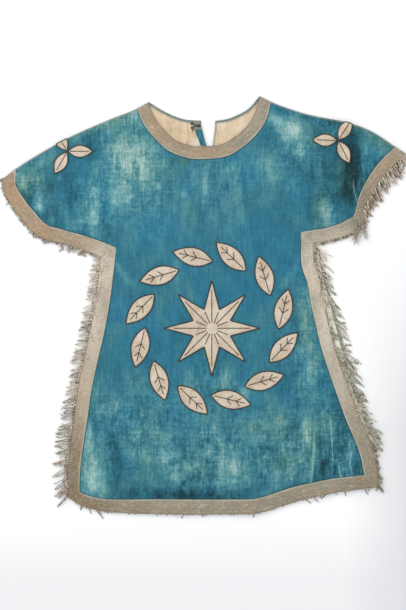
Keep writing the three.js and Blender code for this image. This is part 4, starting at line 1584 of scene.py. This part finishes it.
def add_ornaments():
    made = []
    x, y = EMBLEM["x"], EMBLEM["y"]
    star = star_loop()
    spokes = []
    for i in range(16):
        angle = i * math.pi / 8
        reach = EMBLEM["star_out"] * 0.8 if i % 2 == 0 else EMBLEM["star_in"] * 0.86
        spokes.append([
            (x + 12 * math.cos(angle), y + 12 * math.sin(angle)),
            (x + reach * math.cos(angle), y + reach * math.sin(angle)),
        ])
    made.append(add_ornament("emblem_star", star, spokes))
    for i in range(EMBLEM["leaves"]):
        angle = (i + 0.5) * 2 * math.pi / EMBLEM["leaves"]
        place = (x + EMBLEM["ring"] * math.cos(angle), y + EMBLEM["ring"] * math.sin(angle))
        loop, veins = leaf_with_veins(LEAF, *place, angle + math.pi / 2 - LEAF["lean"])
        flat = (LEAF["width"], LEAF["length"])
        made.append(add_ornament(f"emblem_leaf_{i + 1}", loop, veins, flat))
    for side, (sx, sy, turn) in SPRIGS.items():
        for i in range(3):
            angle = turn + (i - 1) * 2 * math.pi / 3
            reach = SPRIG_LEAF["length"] / 2 + 2
            place = (sx + reach * math.cos(angle), sy + reach * math.sin(angle))
            loop, veins = leaf_with_veins(SPRIG_LEAF, *place, angle)
            made.append(add_ornament(f"sprig_{side}_{i + 1}", inside_front(loop), veins[:1]))
    return made


# ------------------------------------------------------------------ hook

def add_hook():
    """A wire hook bent back over itself, with two sewing loops."""
    z0 = float(lining_height(np.array([(-20.0, 797.0)]))[0]) + LINING + 1.2
    flat, height = [], []
    for side in (-1, 1):
        for turn in np.linspace(-0.8, 1.35, 14)[::side]:
            flat.append((-27.5 + 2.4 * math.cos(math.pi * turn + side), 797 + side * 3.4
                         + 2.4 * math.sin(math.pi * turn + side)))
            height.append(z0)
    wire = []
    for side in (-1, 1):
        y = 797 + side * 1.0
        shank = [(-24.5, 797 + side * 3.2, z0), (-20, y, z0), (-12, y, z0), (-9.2, y, z0 + 1.2),
                 (-9.0, y, z0 + 2.4), (-11.5, y, z0 + 3.4), (-17, y, z0 + 3.6), (-21, 797, z0 + 3.2)]
        loop = [(-26.5 + 2.6 * math.cos(a), 797 + side * (4.4 + 2.0 * math.sin(a)), z0)
                for a in np.linspace(2.6, -3.4, 12)]
        wire.append(resample(np.array(loop[::-1][:0] + shank, float), 0.8))
        wire.append(resample(np.array(loop, float), 0.8))
    pieces = []
    for i, line in enumerate(wire):
        path = to_frame(line[:, :2], line[:, 2])[None]
        piece = tubes(f"hook_wire_{i + 1}", path, 1.05 * MM, metal, 8, 0.5)
        pieces.append(piece)
    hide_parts("hook")
    return pieces


# ------------------------------------------------------------------ cut outlines, not used further


def declare_sheet(loop):
    """Turns a piece's outline into an array and does nothing more with it. Its outline is the cut, because the garment
    is shown flat.
    """
    loop = np.asarray(loop, float)


# ------------------------------------------------------------------ all pieces

front_pieces = add_front()
back_pieces = add_back()
lining_pieces = add_lining()
facing = add_facing()
front_braids = add_front_braids()
back_braids = add_back_braids()
pale_edges = add_pale_edges()
fringes = add_fringes()
ornaments = add_ornaments()
hook = add_hook()

for piece in front_pieces:
    declare_sheet(CUTS[piece.name.removesuffix("_velvet")])
for piece in back_pieces:
    declare_sheet(CUTS[piece.name.removesuffix("_velvet")])
for piece, under in zip(lining_pieces, back_pieces):
    declare_sheet(CUTS[piece.name.removesuffix("_cloth")])
declare_sheet(CUTS["slit_facing"])
for piece, loop, flat in BRAID_CUTS:
    under = front_pieces if piece in front_braids else []
    declare_sheet(loop)
for cloth, cords, loop, flat in ornaments:
    declare_sheet(loop)

everything = [facing, *front_pieces, *back_pieces, *lining_pieces, *front_braids, *back_braids]
everything += [*pale_edges, *fringes, *hook]
for cloth, cords, _, _ in ornaments:
    everything += [cloth, *cords]
for piece in everything:
    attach(piece, "root")


# ------------------------------------------------------------------ stage

def add_stage():
    scene = bpy.context.scene
    mesh = bpy.data.meshes.new("floor")
    mesh.from_pydata([(-6, -6, 0), (6, -6, 0), (6, 6, 0), (-6, 6, 0)], [], [(0, 1, 2, 3)])
    floor = bpy.data.objects.new("floor", mesh)
    floor.location.z = -0.0004
    scene.collection.objects.link(floor)
    paper = Nodes("paper_painted_shade", 0.9)
    where = paper.add("ShaderNodeSeparateXYZ")
    paper.put(where.inputs[0], paper.place)
    # Painted shade: the paper is darker to the right, towards the bottom and most at the lower right corner.
    right = paper.span(where.outputs[0], 0.28, 0.42)
    low = paper.span(where.outputs[1], 0.15, -0.25)
    corner = paper.math("MULTIPLY", right, low)
    bottom = paper.span(where.outputs[1], -0.42, -0.56)
    painted_dim = paper.math("MAXIMUM", paper.math("MULTIPLY", right, 0.3), bottom)
    tone = paper.mix(painted_dim, (0.88, 0.88, 0.87, 1), (0.76, 0.76, 0.76, 1))
    tone = paper.mix(paper.math("MULTIPLY", corner, 0.9), tone, (0.64, 0.63, 0.64, 1))
    paper.colour(tone)
    mesh.materials.append(paper.material)
    world = bpy.data.worlds.new("studio")
    world.use_nodes = True
    world.node_tree.nodes["Background"].inputs["Color"].default_value = (0.95, 0.97, 1.0, 1)
    world.node_tree.nodes["Background"].inputs["Strength"].default_value = 0.82
    scene.world = world
    for name, place, size, power in (
        ("key", (-1.6, 1.4, 2.6), 3.0, 55),
        ("fill", (1.9, -0.6, 2.8), 3.0, 22),
    ):
        light = bpy.data.lights.new(name, "AREA")
        light.size = size
        light.energy = power
        lamp = bpy.data.objects.new(name, light)
        lamp.location = place
        lamp.rotation_euler = (-Vector(place)).to_track_quat("-Z", "Y").to_euler()
        scene.collection.objects.link(lamp)
    scene.view_settings.view_transform = "Standard"


def add_camera():
    """Straight above, with the long side of the picture up the garment."""
    data = bpy.data.cameras.new("camera")
    data.lens = 85
    data.sensor_width = 36
    picture_height = 1.2505
    camera = bpy.data.objects.new("camera", data)
    camera.location = (-0.00705, 0.0004, picture_height * data.lens / data.sensor_width + 0.005)
    bpy.context.scene.collection.objects.link(camera)
    bpy.context.scene.camera = camera


add_stage()
add_camera()
